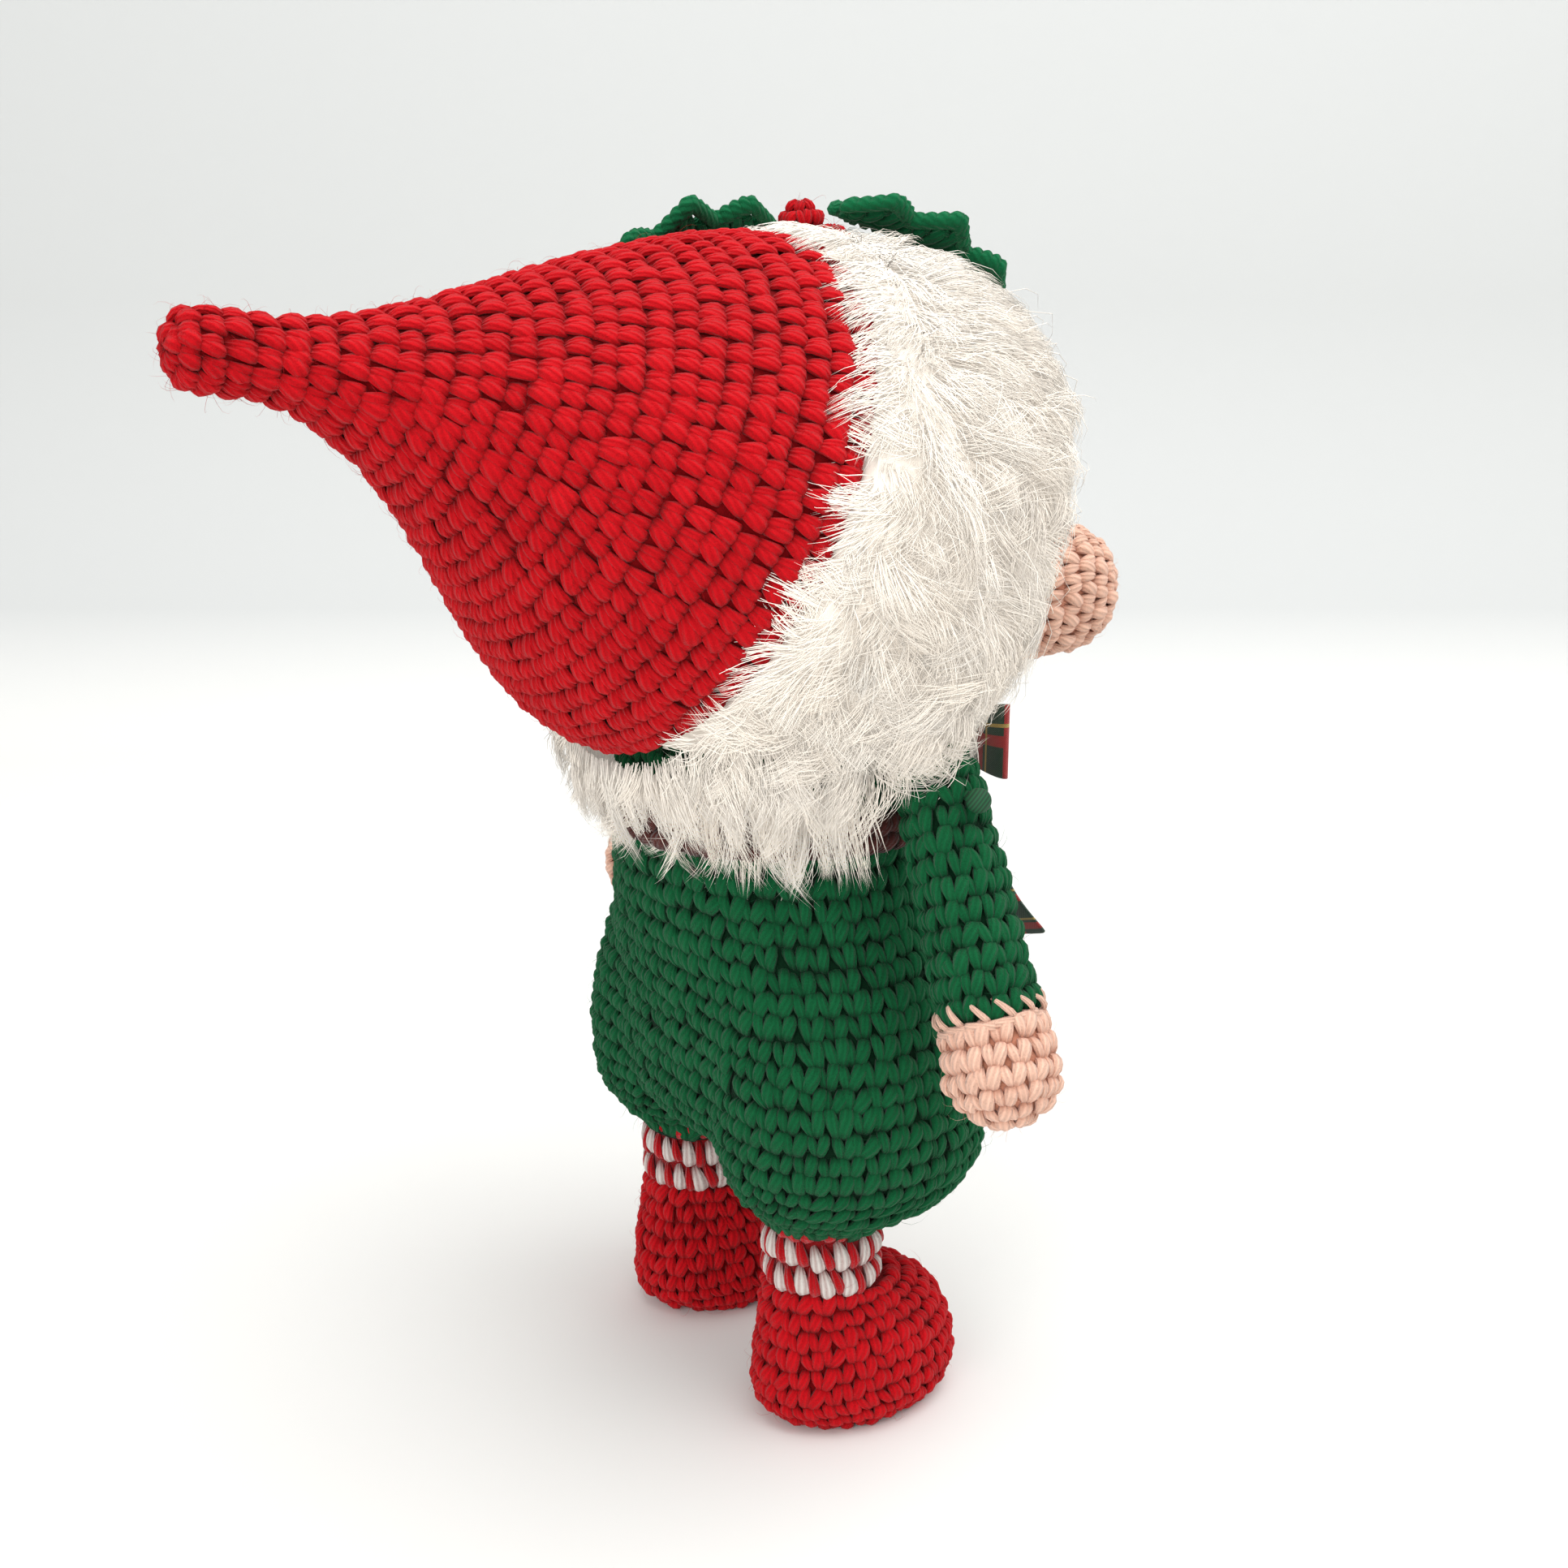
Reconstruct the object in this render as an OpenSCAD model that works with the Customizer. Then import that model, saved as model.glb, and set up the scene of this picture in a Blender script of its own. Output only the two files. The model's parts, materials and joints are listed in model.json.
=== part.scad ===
// Crocheted gnome doll that stands on two flat shoes and swings its arms.
// The doll faces -Y, its right hand is at -X, and the floor is at z = 0.

/* [Shoes and legs] */
// Distance between the middles of the two legs
leg_gap = 33.2; // [32:0.2:38]
// Length of one shoe, heel to toe
shoe_len = 30; // [26:0.5:36]
// Width of one shoe
shoe_w = 21.6; // [19:0.2:25]
// Height of the shoe at the ankle
shoe_h = 20; // [17:0.5:24]
// Outside diameter of a sock
sock_d = 15.6; // [13:0.2:17]
// Thickness of the stiff insole
insole_t = 1.2; // [0.8:0.1:2]

/* [Body] */
// Thickness of the crocheted fabric
fabric_t = 2; // [1.6:0.1:2.4]
// Height of the waist above the floor
waist_z = 79; // [75:0.5:84]
// Outside diameter of the waist
waist_d = 43; // [40:0.5:46]
// Width of the hips
hip_w = 65; // [60:0.5:72]
// Depth of the hips, front to back
hip_depth = 37; // [33:0.5:42]
// Height of the widest part of the hips
hip_z = 45; // [42:0.5:49]
// Height of the lowest point of the shorts
shorts_z = 27; // [24:0.5:29]
// Width of the belt band
belt_w = 4; // [3:0.2:6]
// Thickness of the belt band
belt_t = 1.4; // [1:0.1:2]
// Height of the jacket above the waist
jacket_h = 13.8; // [12:0.2:18]

/* [Head] */
// Diameter of the head ball
head_d = 62; // [58:0.5:66]
// Depth of the fur over the head, round the hat
trim_t = 9; // [7:0.5:11]
// Depth of the fur over the face
beard_t = 3.6; // [3:0.2:8]
// Width of the fur band round the hat
trim_w = 29; // [22:0.5:32]
// Width of the nose
nose_w = 15; // [12:0.5:18]
// Height of the nose
nose_h = 19; // [15:0.5:21]
// Distance from the middle of the head to the front of the nose
nose_reach = 53.8; // [48:0.2:58]
// How far the nose sits below the middle of the head
nose_drop = 11.4; // [9:0.2:13]

/* [Hat] */
// How much wider the hat's rim is than the head ball
hat_ease = 4.6; // [3:0.2:8]
// Angle that the hat leans up from straight back
hat_lean = 26; // [20:1:32]
// Distance from the middle of the head to the tip, along Y
hat_back = 75.5; // [68:0.5:84]
// Distance from the middle of the head up to the tip
hat_up = 26.2; // [20:0.2:32]
// Outside diameter of the narrow tip
tip_d = 9.4; // [8:0.2:12]

/* [Holly] */
// Length of a holly leaf
leaf_len = 27; // [22:0.5:30]
// Width of a holly leaf
leaf_w = 15; // [12:0.5:18]
// Thickness of a holly leaf
leaf_t = 2.2; // [1.6:0.1:3]
// Diameter of a holly berry
berry_d = 6.4; // [5:0.2:7]

/* [Bow] */
// Width of the ribbon
ribbon_w = 10; // [8:0.5:11]
// Width of the bow across its two loops
bow_w = 31; // [26:0.5:36]
// Height of the bow's knot above the waist
bow_up = 7; // [6:0.5:8]
// Length of a tail below the knot
tail_drop = 24; // [16:0.5:28]

/* [Arms] */
// Height of the shoulder thread above the waist
shoulder_up = 9; // [7:0.2:10]
// Distance between the middles of the two shoulders
shoulder_w = 56; // [55:0.2:62]
// Length of an arm from the thread to the middle of the hand
arm_len = 34; // [28:0.5:38]
// Angle that an arm leans out from straight down
arm_out = 27; // [25:0.5:32]
// Diameter of the sleeve at the shoulder
sleeve_d = 10.8; // [9:0.2:11]
// Diameter of the sleeve at the cuff
cuff_d = 12.8; // [11:0.2:14]
// Diameter of the mitten hand
hand_d = 14.2; // [12:0.2:16]
// Length of the hand below the cuff
hand_len = 13; // [11:0.5:16]
// Diameter of the shoulder thread
thread_d = 1.2; // [0.8:0.1:1.6]
// Radial clearance of the thread in the sleeve
thread_fit = 0.05; // [0.02:0.01:0.1]

/* [Hidden] */

// Gap left at a seam, and between a fabric and what fills it
gap = 0.2;
// Finest angle of a true round face
$fn = 96;
// Points round a lofted solid
ring_n = 24;

// Places, in a frame whose origin is on the floor between the two feet
leg_x = leg_gap / 2;
leg_y = 4.3;
shoe_y = leg_y - 5;
// Height of the shoe's widest level, and how far its round edge would reach below it
welt_z = 5;
sole_round_h = 7.4;
// How far the shoe's front stands ahead of the sock at the ankle
ankle_lip = 0.98;
sock_z = 36;
leg_round = 2.9;
crotch_z = shorts_z + 9;
body_y = 1;
belt_z = waist_z - 0.3;
neck_z = waist_z + gap + jacket_h;
jacket_d = waist_d - 1.4;
head_r = head_d / 2;
// The head ball is cut flat where it sits on the jacket, a little wider than the jacket
neck_seat_r = jacket_d / 2 + 2;
head_c = [0, 0, neck_z + gap + sqrt(pow(head_r, 2) - pow(neck_seat_r, 2))];
hat_d = head_d + hat_ease;
bow_z = waist_z + bow_up;
shoulder_z = waist_z + shoulder_up;
trim_r = head_r + trim_t;
trim_shift = 4.5;
beard_r = head_r + beard_t;
fur_z = belt_z + belt_w + 0.5;
hat_axis = [0, cos(hat_lean), sin(hat_lean)];
rim_d = head_r * 14 / 31;
hat_rim = head_c + hat_axis * rim_d;
hat_tip = head_c + [0, hat_back, hat_up];
nose_c = head_c + [0, 0, -nose_drop];
nose_round = 9;
berry_r = berry_d / 2;
knot_w = 6;
knot_h = 6;
knot_t = 4;
loop_t = 3;
tail_t = 1;
// Ribbon drawn in at the knot, and the straight length at each end of a loop or tail
pinch_h = 5;
end_w = 1;
// How far a loop's outer end stands back from the knot's front, and up from its middle
loop_back = 1.7;
loop_up = 1;
// How far a tail's outer end stands to the side, and back from the knot's front
tail_out = 25;
tail_back = 2.3;
bow_y = -sqrt(pow(beard_r, 2) - pow(head_c.z - bow_z - knot_h / 2, 2)) - gap;
shoulder = [-shoulder_w / 2, -4.5, shoulder_z];
arm_down = [-sin(arm_out), 0.035, -cos(arm_out)];
cuff_s = arm_len - 5.6;
swing_r = 12;
notch_x = jacket_d / 2 - 1.8;
thread_r = thread_d / 2;
thread_half = shoulder_w / 2 + sleeve_d / 2 / cos(arm_out) + 3;

// The origin lies under the middle of the doll's box, so everything moves by this in Y
nose_front = -nose_reach;
origin_y = -(nose_front + hat_back) / 2;

cotton_red = "crimson";
cotton_green = "darkgreen";
cotton_skin = "burlywood";
pile_white = "ivory";
fibre_white = "white";

module placed() {
    translate([0, origin_y, 0]) children();
}

function unit(v) = v / norm(v);

// Ellipse of points about c in the plane of the unit vectors a and b
function ring(c, a, b, ra, rb, n = ring_n) =
    [for (i = [0:n - 1]) c + a * ra * cos(360 * i / n) + b * rb * sin(360 * i / n)];

// Level ellipse about [x, y] at height z
function level_ring(x, y, z, rx, ry) = ring([x, y, z], [1, 0, 0], [0, 1, 0], rx, ry);

// Solid through a list of rings that all have the same number of points
module loft(rings) {
    n = len(rings[0]);
    m = len(rings);
    points = [for (r = rings) each r];
    sides = [for (j = [0:m - 2]) for (i = [0:n - 1])
        let (k = (i + 1) % n, a = j * n, b = a + n)
        each [[a + i, b + i, b + k], [a + i, b + k, a + k]]];
    first_cap = [for (i = [0:n - 1]) i];
    last_cap = [for (i = [0:n - 1]) m * n - 1 - i];
    polyhedron(points, concat([first_cap], sides, [last_cap]), convexity = 6);
}

// Shoe: an oval sole that rises into a round ankle
ankle_share = (shoe_y - leg_y + sock_d / 2 + ankle_lip) / (shoe_len / 2);
toe_rise = (shoe_h - welt_z) / sqrt(1 - pow(ankle_share, 2));
function toe(z) = shoe_y - shoe_len / 2 * sqrt(1 - pow(max(0, z - welt_z) / toe_rise, 2));
function heel(z) = shoe_y + shoe_len / 2
    - (shoe_y + shoe_len / 2 - leg_y - sock_d / 2) * pow(z / shoe_h, 2);
function shoe_half_w(z) = shoe_w / 2 - (shoe_w - sock_d) / 2 * pow(z / shoe_h, 2);
function sole_round(z) = sqrt(1 - pow(max(0, welt_z - z) / sole_round_h, 2));
function shoe_ring(z, inset) = level_ring(-leg_x, (toe(z) + heel(z)) / 2, z,
    shoe_half_w(z) * sole_round(z) - inset,
    (heel(z) - toe(z)) / 2 * sole_round(z) - inset);

module shoe() {
    up = [0, 1, 2.5, 5, 8, 11, 14, 17, shoe_h];
    down = [shoe_h, 17, 14, 11, 8, 5, 3.5, fabric_t];
    loft(concat([for (z = up) shoe_ring(z, 0)], [for (z = down) shoe_ring(z, fabric_t)]));
}

module insole() {
    low = fabric_t + gap;
    loft([for (z = [low, low + insole_t]) shoe_ring(z, fabric_t + 2 * gap)]);
}

module sock() {
    translate([-leg_x, leg_y, shoe_h + gap / 2]) difference() {
        cylinder(d = sock_d, h = sock_z - shoe_h);
        translate([0, 0, -1]) cylinder(d = sock_d - 2 * fabric_t, h = sock_z);
    }
}

module leg_stuffing() {
    low = fabric_t + 2 * gap + insole_t;
    r = sock_d / 2 - fabric_t - gap;
    loft(concat([for (z = [low, 5, 8, 11, 14, 17]) shoe_ring(z, fabric_t + gap)],
        [for (z = [shoe_h, sock_z]) level_ring(-leg_x, leg_y, z, r, r)]));
}

// Shorts: a pear-shaped body that runs into two round legs
function hip_share(z) = (1 - cos(180 * min(1, max(0, (waist_z - z) / (waist_z - hip_z))))) / 2;
function hip_close(z) = sqrt(1 - pow(max(0, hip_z - z) / (hip_z - crotch_z + 6), 2));
function body_ring(z, inset) = level_ring(0, body_y, z,
    (waist_d / 2 + (hip_w - 1 - waist_d) / 2 * hip_share(z)) * hip_close(z) - inset,
    (waist_d / 2 + (hip_depth - waist_d) / 2 * hip_share(z)) * hip_close(z) - inset);

module body_form(inset, top) {
    drop = hip_z - crotch_z - inset;
    rise = waist_z - 2 - hip_z;
    low_shares = [-1, -0.7, -0.35, 0];
    levels = [for (u = low_shares) hip_z + drop * u, for (u = [0.2:0.2:1]) hip_z + rise * u];
    loft(concat([for (z = levels) body_ring(z, inset)],
        [level_ring(0, body_y, top, waist_d / 2 - inset, waist_d / 2 - inset)]));
}

// Each leg is full and round below the hips, and thins out inside the body up to the waist:
// share of the way up to the waist, then shares of the leg's width and depth
thigh_shares = [[0.3, 0.93, 0.98], [0.6, 0.72, 0.86], [0.85, 0.45, 0.6]];
thigh_in = 8;
module leg_form(inset) {
    rx = (hip_w - leg_gap - 2) / 2;
    drop = hip_z - shorts_z - inset;
    shares = [for (u = [0.99, 0.93, 0.8, 0.6, 0.35, 0]) [-u, pow(1 - pow(u, leg_round), 1 / leg_round)]];
    loft(concat(
        [for (q = shares) level_ring(-leg_x - 1, body_y - 0.6, hip_z + drop * q[0],
            rx * q[1] - inset, hip_depth / 2 * q[1] - inset)],
        [for (q = thigh_shares) level_ring(-leg_x - 1 + thigh_in * q[0], body_y - 0.6 * (1 - q[0]),
            hip_z + (waist_z - hip_z) * q[0], rx * q[1] - inset, hip_depth / 2 * q[2] - inset)]));
}

module both_legs() {
    children();
    mirror([1, 0, 0]) children();
}

module leg_holes(r) {
    both_legs() translate([-leg_x, leg_y, shorts_z - 5]) cylinder(r = r, h = sock_z + 5 + gap - shorts_z);
}

module shorts() {
    color(cotton_green) placed() difference() {
        union() {
            body_form(0, waist_z);
            both_legs() leg_form(0);
        }
        body_form(fabric_t, waist_z + 1);
        both_legs() leg_form(fabric_t);
        leg_holes(sock_d / 2 + gap);
    }
}

module body_stuffing() {
    inset = fabric_t + gap;
    color(fibre_white) placed() difference() {
        union() {
            body_form(inset, waist_z - 1);
            both_legs() leg_form(inset);
            translate([0, body_y, waist_z - 5]) cylinder(d = jacket_d - 2 * inset, h = neck_z - waist_z + 5);
        }
        leg_holes(sock_d / 2 + gap);
        thread_hole();
    }
}

module belt() {
    color("saddlebrown") placed() translate([0, body_y, belt_z]) difference() {
        cylinder(d = waist_d + 2 * gap + 2 * belt_t, h = belt_w);
        translate([0, 0, -1]) cylinder(d = waist_d + 2 * gap, h = belt_w + 2);
    }
}

module jacket() {
    color(cotton_green) placed() difference() {
        translate([0, body_y, waist_z + gap]) cylinder(d = jacket_d, h = jacket_h);
        translate([0, body_y, waist_z]) cylinder(d = jacket_d - 2 * fabric_t, h = jacket_h + 1);
        thread_hole();
    }
}

// Head, which is a ball that is open where it is sewn to the jacket
module above_neck() {
    translate([-60, -60, neck_z + gap]) cube(120);
}

module head() {
    color(cotton_skin) placed() intersection() {
        translate(head_c) difference() {
            sphere(r = head_r);
            sphere(r = head_r - fabric_t);
        }
        above_neck();
    }
}

module head_stuffing() {
    color(fibre_white) placed() intersection() {
        translate(head_c) sphere(r = head_r - fabric_t - gap);
        above_neck();
    }
}

// Nose: an egg that stands out of the fur, closed at the front and open at the head
function nose_ring(y, inset) =
    let (front = -nose_reach + inset,
        k = sqrt(1 - pow(max(0, front + nose_round - y) / nose_round, 2)))
    ring(nose_c + [0, y, 0], [1, 0, 0], [0, 0, -1], (nose_w / 2 - inset) * k, (nose_h / 2 - inset) * k);

function nose_steps(inset) =
    [for (a = [84, 68, 50, 30]) -nose_reach + inset + nose_round * (1 - sin(a))];

module nose() {
    back = -20;
    front = nose_steps(0);
    inside = nose_steps(fabric_t);
    color(cotton_skin) placed() difference() {
        loft(concat([for (y = front) nose_ring(y, 0)], [nose_ring(back, 0)],
            [nose_ring(back, fabric_t)], [for (i = [3:-1:0]) nose_ring(inside[i], fabric_t)]));
        translate(head_c) sphere(r = head_r + gap);
    }
}

module nose_stuffing() {
    inset = fabric_t + gap;
    color(fibre_white) placed() difference() {
        loft(concat([for (y = nose_steps(inset)) nose_ring(y, inset)], [nose_ring(-20, inset)]));
        translate(head_c) sphere(r = head_r + gap);
    }
}

// Fur: a thick layer over the head that leaves room for the nose, the neck and the arms
module fur_layer(r, forward) {
    difference() {
        intersection() {
            translate(head_c - hat_axis * forward) sphere(r = r);
            translate([-60, -60, fur_z]) cube(120);
        }
        translate(head_c) sphere(r = head_r + gap);
        translate([0, body_y, 0]) cylinder(d = waist_d + 2 * gap, h = neck_z + gap);
        translate(nose_c) rotate([90, 0, 0]) cylinder(d = nose_h + 2 * gap, h = 80);
        both_legs() translate([-60, shoulder.y, shoulder_z]) rotate([0, 90, 0])
            cylinder(r = swing_r, h = 60 - notch_x);
        both_legs() translate([-60, shoulder.y - swing_r, 0])
            cube([60 - notch_x, 2 * swing_r, shoulder_z]);
    }
}

module along_hat_axis(from, h) {
    translate(head_c + hat_axis * from) rotate([hat_lean - 90, 0, 0]) cylinder(r = 60, h = h);
}

module hat_trim() {
    color(pile_white) placed() intersection() {
        fur_layer(trim_r, trim_shift);
        along_hat_axis(rim_d - gap - trim_w, trim_w);
    }
}

module beard() {
    color(pile_white) placed() intersection() {
        fur_layer(beard_r, 0);
        along_hat_axis(rim_d - 2 * gap - trim_w - 60, 60);
    }
}

// Hat: rings along a curve from the rim to the tip, which narrow in a soft bell
hat_curve = [hat_rim, hat_rim + [0, 18, 5.5], hat_tip - [0, 18, 0.8], hat_tip];

function hat_mid(t) = pow(1 - t, 3) * hat_curve[0] + 3 * t * pow(1 - t, 2) * hat_curve[1]
    + 3 * t * t * (1 - t) * hat_curve[2] + pow(t, 3) * hat_curve[3];
function bell(t) = (1 + cos(180 * min(1, t / 0.84))) / 2;
function tip_close(t) = sqrt(1 - pow(max(0, t - 0.93) / 0.0705, 2));
function hat_r(t) = tip_d / 2 + (hat_d - tip_d) / 2 * bell(t);
function hat_ring(t, inset) = let (a = hat_lean * (1 - t * t))
    ring(hat_mid(t), [1, 0, 0], [0, sin(a), -cos(a)],
        max(0.4, (hat_r(t) - inset) * tip_close(t)), max(0.4, (hat_r(t) - inset) * tip_close(t)), 32);

hat_stations = [0, 0.08, 0.16, 0.24, 0.32, 0.4, 0.48, 0.56, 0.64, 0.72, 0.82, 0.93];
tip_stations = [0.96, 0.985, 1];

module hat() {
    n = len(hat_stations);
    color(cotton_red) placed()
        loft(concat([for (i = [n - 1:-1:0]) hat_ring(hat_stations[i], fabric_t)],
            [for (t = hat_stations) hat_ring(t, 0)], [for (t = tip_stations) hat_ring(t, 0)]));
}

module hat_stuffing() {
    color(fibre_white) placed() difference() {
        loft([for (t = [for (i = [0:10]) hat_stations[i]]) hat_ring(t, fabric_t + gap)]);
        translate(head_c) sphere(r = head_r + gap);
    }
}

// Holly: flat lobed leaves and round berries that lie on the fur
// Places of the leaves: angle round the top, angle above level, and turn of the leaf
leaf_front = [-78, 62, -14];
leaf_back = [27, 62, 60];
// Places of the berries: angle round the top and angle above level
berry_1 = [-28, 64.5];
berry_2 = [-17, 56];
berry_3 = [-39, 56];
// Room for the pile under a leaf
leaf_lift = 1;
function leaf_edge(t) = leaf_w / 2 * pow(sin(180 * t), 0.8) * (0.74 - 0.26 * cos(1080 * t));

module leaf_outline() {
    steps = [0.02:0.04:0.98];
    polygon(concat([for (t = steps) [leaf_len * (t - 0.5), -leaf_edge(t)]],
        [for (t = steps) [leaf_len * (0.5 - t), leaf_edge(1 - t)]]));
}

// Puts a child at r from the middle of the fur ball, with its X axis turned by spin
module on_fur(turn, rise, spin, r) {
    translate(head_c - hat_axis * trim_shift) rotate([0, 90 - rise, turn]) translate([0, 0, r])
        rotate([0, 0, spin]) children();
}

module holly_leaf(place) {
    color("green") placed() on_fur(place[0], place[1], place[2], trim_r + gap + leaf_lift)
        linear_extrude(leaf_t) leaf_outline();
}

module holly_berry(place) {
    color("red") placed() on_fur(place[0], place[1], 0, trim_r + gap + berry_r) sphere(r = berry_r);
}

// Bow: a knot, two loops and two tails that hang from it
module bow_knot() {
    color("darkolivegreen") placed() translate([-knot_w / 2, bow_y - knot_t, bow_z - knot_h / 2])
        cube([knot_w, knot_t, knot_h]);
}

module bow_loop() {
    inner = knot_w / 2 + gap;
    color("darkolivegreen") placed() hull() {
        translate([-inner - end_w, bow_y - knot_t, bow_z - pinch_h / 2])
            cube([end_w, loop_t, pinch_h]);
        translate([-bow_w / 2, bow_y - knot_t + loop_back, bow_z + loop_up - ribbon_w / 2])
            cube([2 * end_w, loop_t, ribbon_w]);
    }
}

module bow_tail() {
    top = bow_z - knot_h / 2 - gap - end_w;
    color("darkolivegreen") placed() hull() {
        translate([-pinch_h, bow_y - knot_t + 1, top]) cube([pinch_h - gap, tail_t, end_w]);
        translate([-tail_out, bow_y - knot_t + tail_back, bow_z - tail_drop])
            cube([ribbon_w, tail_t, end_w]);
    }
}

// Arms: a thread runs through the jacket and both sleeves, and is knotted at each end
module thread_along_x(r, half) {
    translate([-half, shoulder.y, shoulder.z]) rotate([0, 90, 0]) cylinder(r = r, h = 2 * half);
}

module thread_hole() {
    thread_along_x(thread_r + thread_fit, thread_half);
}

module shoulder_thread() {
    color(fibre_white) placed() {
        thread_along_x(thread_r, thread_half - 1);
        both_legs() translate([-thread_half + 1, shoulder.y, shoulder.z]) sphere(r = 1.5);
    }
}

function arm_ring(s, r) =
    let (b = unit(cross(arm_down, [0, 1, 0])), a = unit(cross(b, arm_down)))
    ring(shoulder + arm_down * s, a, b, r, r);
function sleeve_r(s) = sleeve_d / 2 + (cuff_d - sleeve_d) / 2 * max(0, s / cuff_s);

// Ring of the sleeve's round top, at the angle a above the thread
function shoulder_ring(a, inset) = let (r = sleeve_d / 2 - inset) arm_ring(-r * sin(a), r * cos(a));

module sleeve() {
    share = cuff_s / 3;
    color(cotton_green) placed() difference() {
        loft(concat([for (a = [75, 50, 25, 0]) shoulder_ring(a, 0)],
            [for (i = [1:3]) arm_ring(share * i, sleeve_r(share * i))],
            [for (i = [3:-1:1]) arm_ring(share * i, sleeve_r(share * i) - fabric_t)],
            [for (a = [0, 25, 50]) shoulder_ring(a, fabric_t)]));
        thread_hole();
    }
}

// Radius of the mitten: it widens below the cuff and then closes in a round end
function hand_r(s) = let (u = (s - cuff_s) / hand_len)
    (cuff_d / 2 + (hand_d - cuff_d) / 2 * sin(90 * min(1, 2.5 * u)))
    * sqrt(1 - pow(max(0, u - 0.45) / 0.56, 2));

module hand() {
    shares = [0.02, 0.2, 0.45, 0.65, 0.82, 0.93, 1];
    out = [for (u = shares) cuff_s + hand_len * u];
    color(cotton_skin) placed() loft(concat(
        [for (i = [4:-1:0]) arm_ring(out[i], hand_r(out[i]) - fabric_t)],
        [for (s = out) arm_ring(s, hand_r(s))]));
}

module arm_stuffing() {
    low = thread_r + 3;
    color(fibre_white) placed() loft(concat(
        [for (s = [low, cuff_s / 3, cuff_s * 2 / 3, cuff_s]) arm_ring(s, sleeve_r(s) - fabric_t - gap)],
        [for (u = [0.2, 0.45, 0.65, 0.78]) arm_ring(cuff_s + hand_len * u,
            hand_r(cuff_s + hand_len * u) - fabric_t - gap)]));
}

module right_shoe() { color(cotton_red) placed() shoe(); }
module right_insole() { color("gray") placed() insole(); }
module right_sock() { color("tomato") placed() sock(); }
module right_leg_stuffing() { color(fibre_white) placed() leg_stuffing(); }

module other_side() { mirror([1, 0, 0]) children(); }

right_shoe();
other_side() right_shoe();  // left_shoe
right_insole();
other_side() right_insole();  // left_insole
right_sock();
other_side() right_sock();  // left_sock
right_leg_stuffing();
other_side() right_leg_stuffing();  // left_leg_stuffing
shorts();
body_stuffing();
belt();
jacket();
head();
head_stuffing();
nose();
nose_stuffing();
beard();
hat();
hat_stuffing();
hat_trim();
holly_leaf(leaf_front);  // holly_leaf_front
holly_leaf(leaf_back);  // holly_leaf_back
holly_berry(berry_1);  // holly_berry_1
holly_berry(berry_2);  // holly_berry_2
holly_berry(berry_3);  // holly_berry_3
bow_knot();
bow_loop();  // right_bow_loop
other_side() bow_loop();  // left_bow_loop
bow_tail();  // right_bow_tail
other_side() bow_tail();  // left_bow_tail
shoulder_thread();
sleeve();  // right_sleeve
other_side() sleeve();  // left_sleeve
hand();  // right_hand
other_side() hand();  // left_hand
arm_stuffing();  // right_arm_stuffing
other_side() arm_stuffing();  // left_arm_stuffing
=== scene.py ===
"""Crocheted gnome doll: the yarn, fur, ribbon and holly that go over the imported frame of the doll."""

import json
import math

import bpy
import numpy as np
from mathutils import Matrix, Vector


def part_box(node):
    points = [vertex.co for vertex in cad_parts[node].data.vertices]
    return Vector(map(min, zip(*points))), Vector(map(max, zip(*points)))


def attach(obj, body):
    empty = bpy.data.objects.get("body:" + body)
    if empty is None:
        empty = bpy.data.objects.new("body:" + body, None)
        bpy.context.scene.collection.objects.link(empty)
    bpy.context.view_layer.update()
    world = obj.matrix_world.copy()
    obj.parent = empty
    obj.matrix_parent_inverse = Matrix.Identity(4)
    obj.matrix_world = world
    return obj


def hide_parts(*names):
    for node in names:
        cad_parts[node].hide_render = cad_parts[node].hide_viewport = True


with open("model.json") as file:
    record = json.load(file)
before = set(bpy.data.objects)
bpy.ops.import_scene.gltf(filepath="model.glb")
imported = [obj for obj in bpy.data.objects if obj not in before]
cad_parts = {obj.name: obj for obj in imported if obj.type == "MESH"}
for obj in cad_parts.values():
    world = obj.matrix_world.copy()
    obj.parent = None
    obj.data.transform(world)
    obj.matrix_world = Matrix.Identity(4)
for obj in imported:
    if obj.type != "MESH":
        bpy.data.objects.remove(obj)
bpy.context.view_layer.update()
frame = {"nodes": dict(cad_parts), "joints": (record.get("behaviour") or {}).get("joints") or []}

bl_info = {
    "name": "Crocheted Gnome",
    "version": (1, 0, 0),
    "blender": (4, 5, 0),
    "location": "View3D > Sidebar > Gnome",
    "description": "Builds the crochet, fur, ribbon and holly of a standing gnome doll",
    "category": "Object",
}

MM = 0.001
UP = np.array([0.0, 0.0, 1.0])
TAU = 2 * math.pi
BODY = "doll"
SEED = 24
SIDES = ("right", "left")
FEWEST_STITCHES = 6
# Height of the shoe's widest level, and how far its round edge would reach below it
WELT_Z, SOLE_ROUND_H = 5, 7.4


def linear(r, g, b):
    """A colour in scene linear values, from its 0 to 255 display values."""
    return tuple((c / 255 / 12.92) if c <= 10 else ((c / 255 + 0.055) / 1.055) ** 2.4 for c in (r, g, b))


def distance(name, default, low, high, about):
    """A length in metres whose default is given in millimetres."""
    return bpy.props.FloatProperty(
        name=name, description=about, default=default * MM, min=low * MM, max=high * MM,
        subtype="DISTANCE", unit="LENGTH", precision=5)


def angle(name, default, low, high, about):
    return bpy.props.FloatProperty(
        name=name, description=about, default=math.radians(default), min=math.radians(low),
        max=math.radians(high), subtype="ANGLE", unit="ROTATION")


def colour(name, default, about):
    return bpy.props.FloatVectorProperty(
        name=name, description=about, default=linear(*default), size=3, min=0, max=1, subtype="COLOR")


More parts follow.
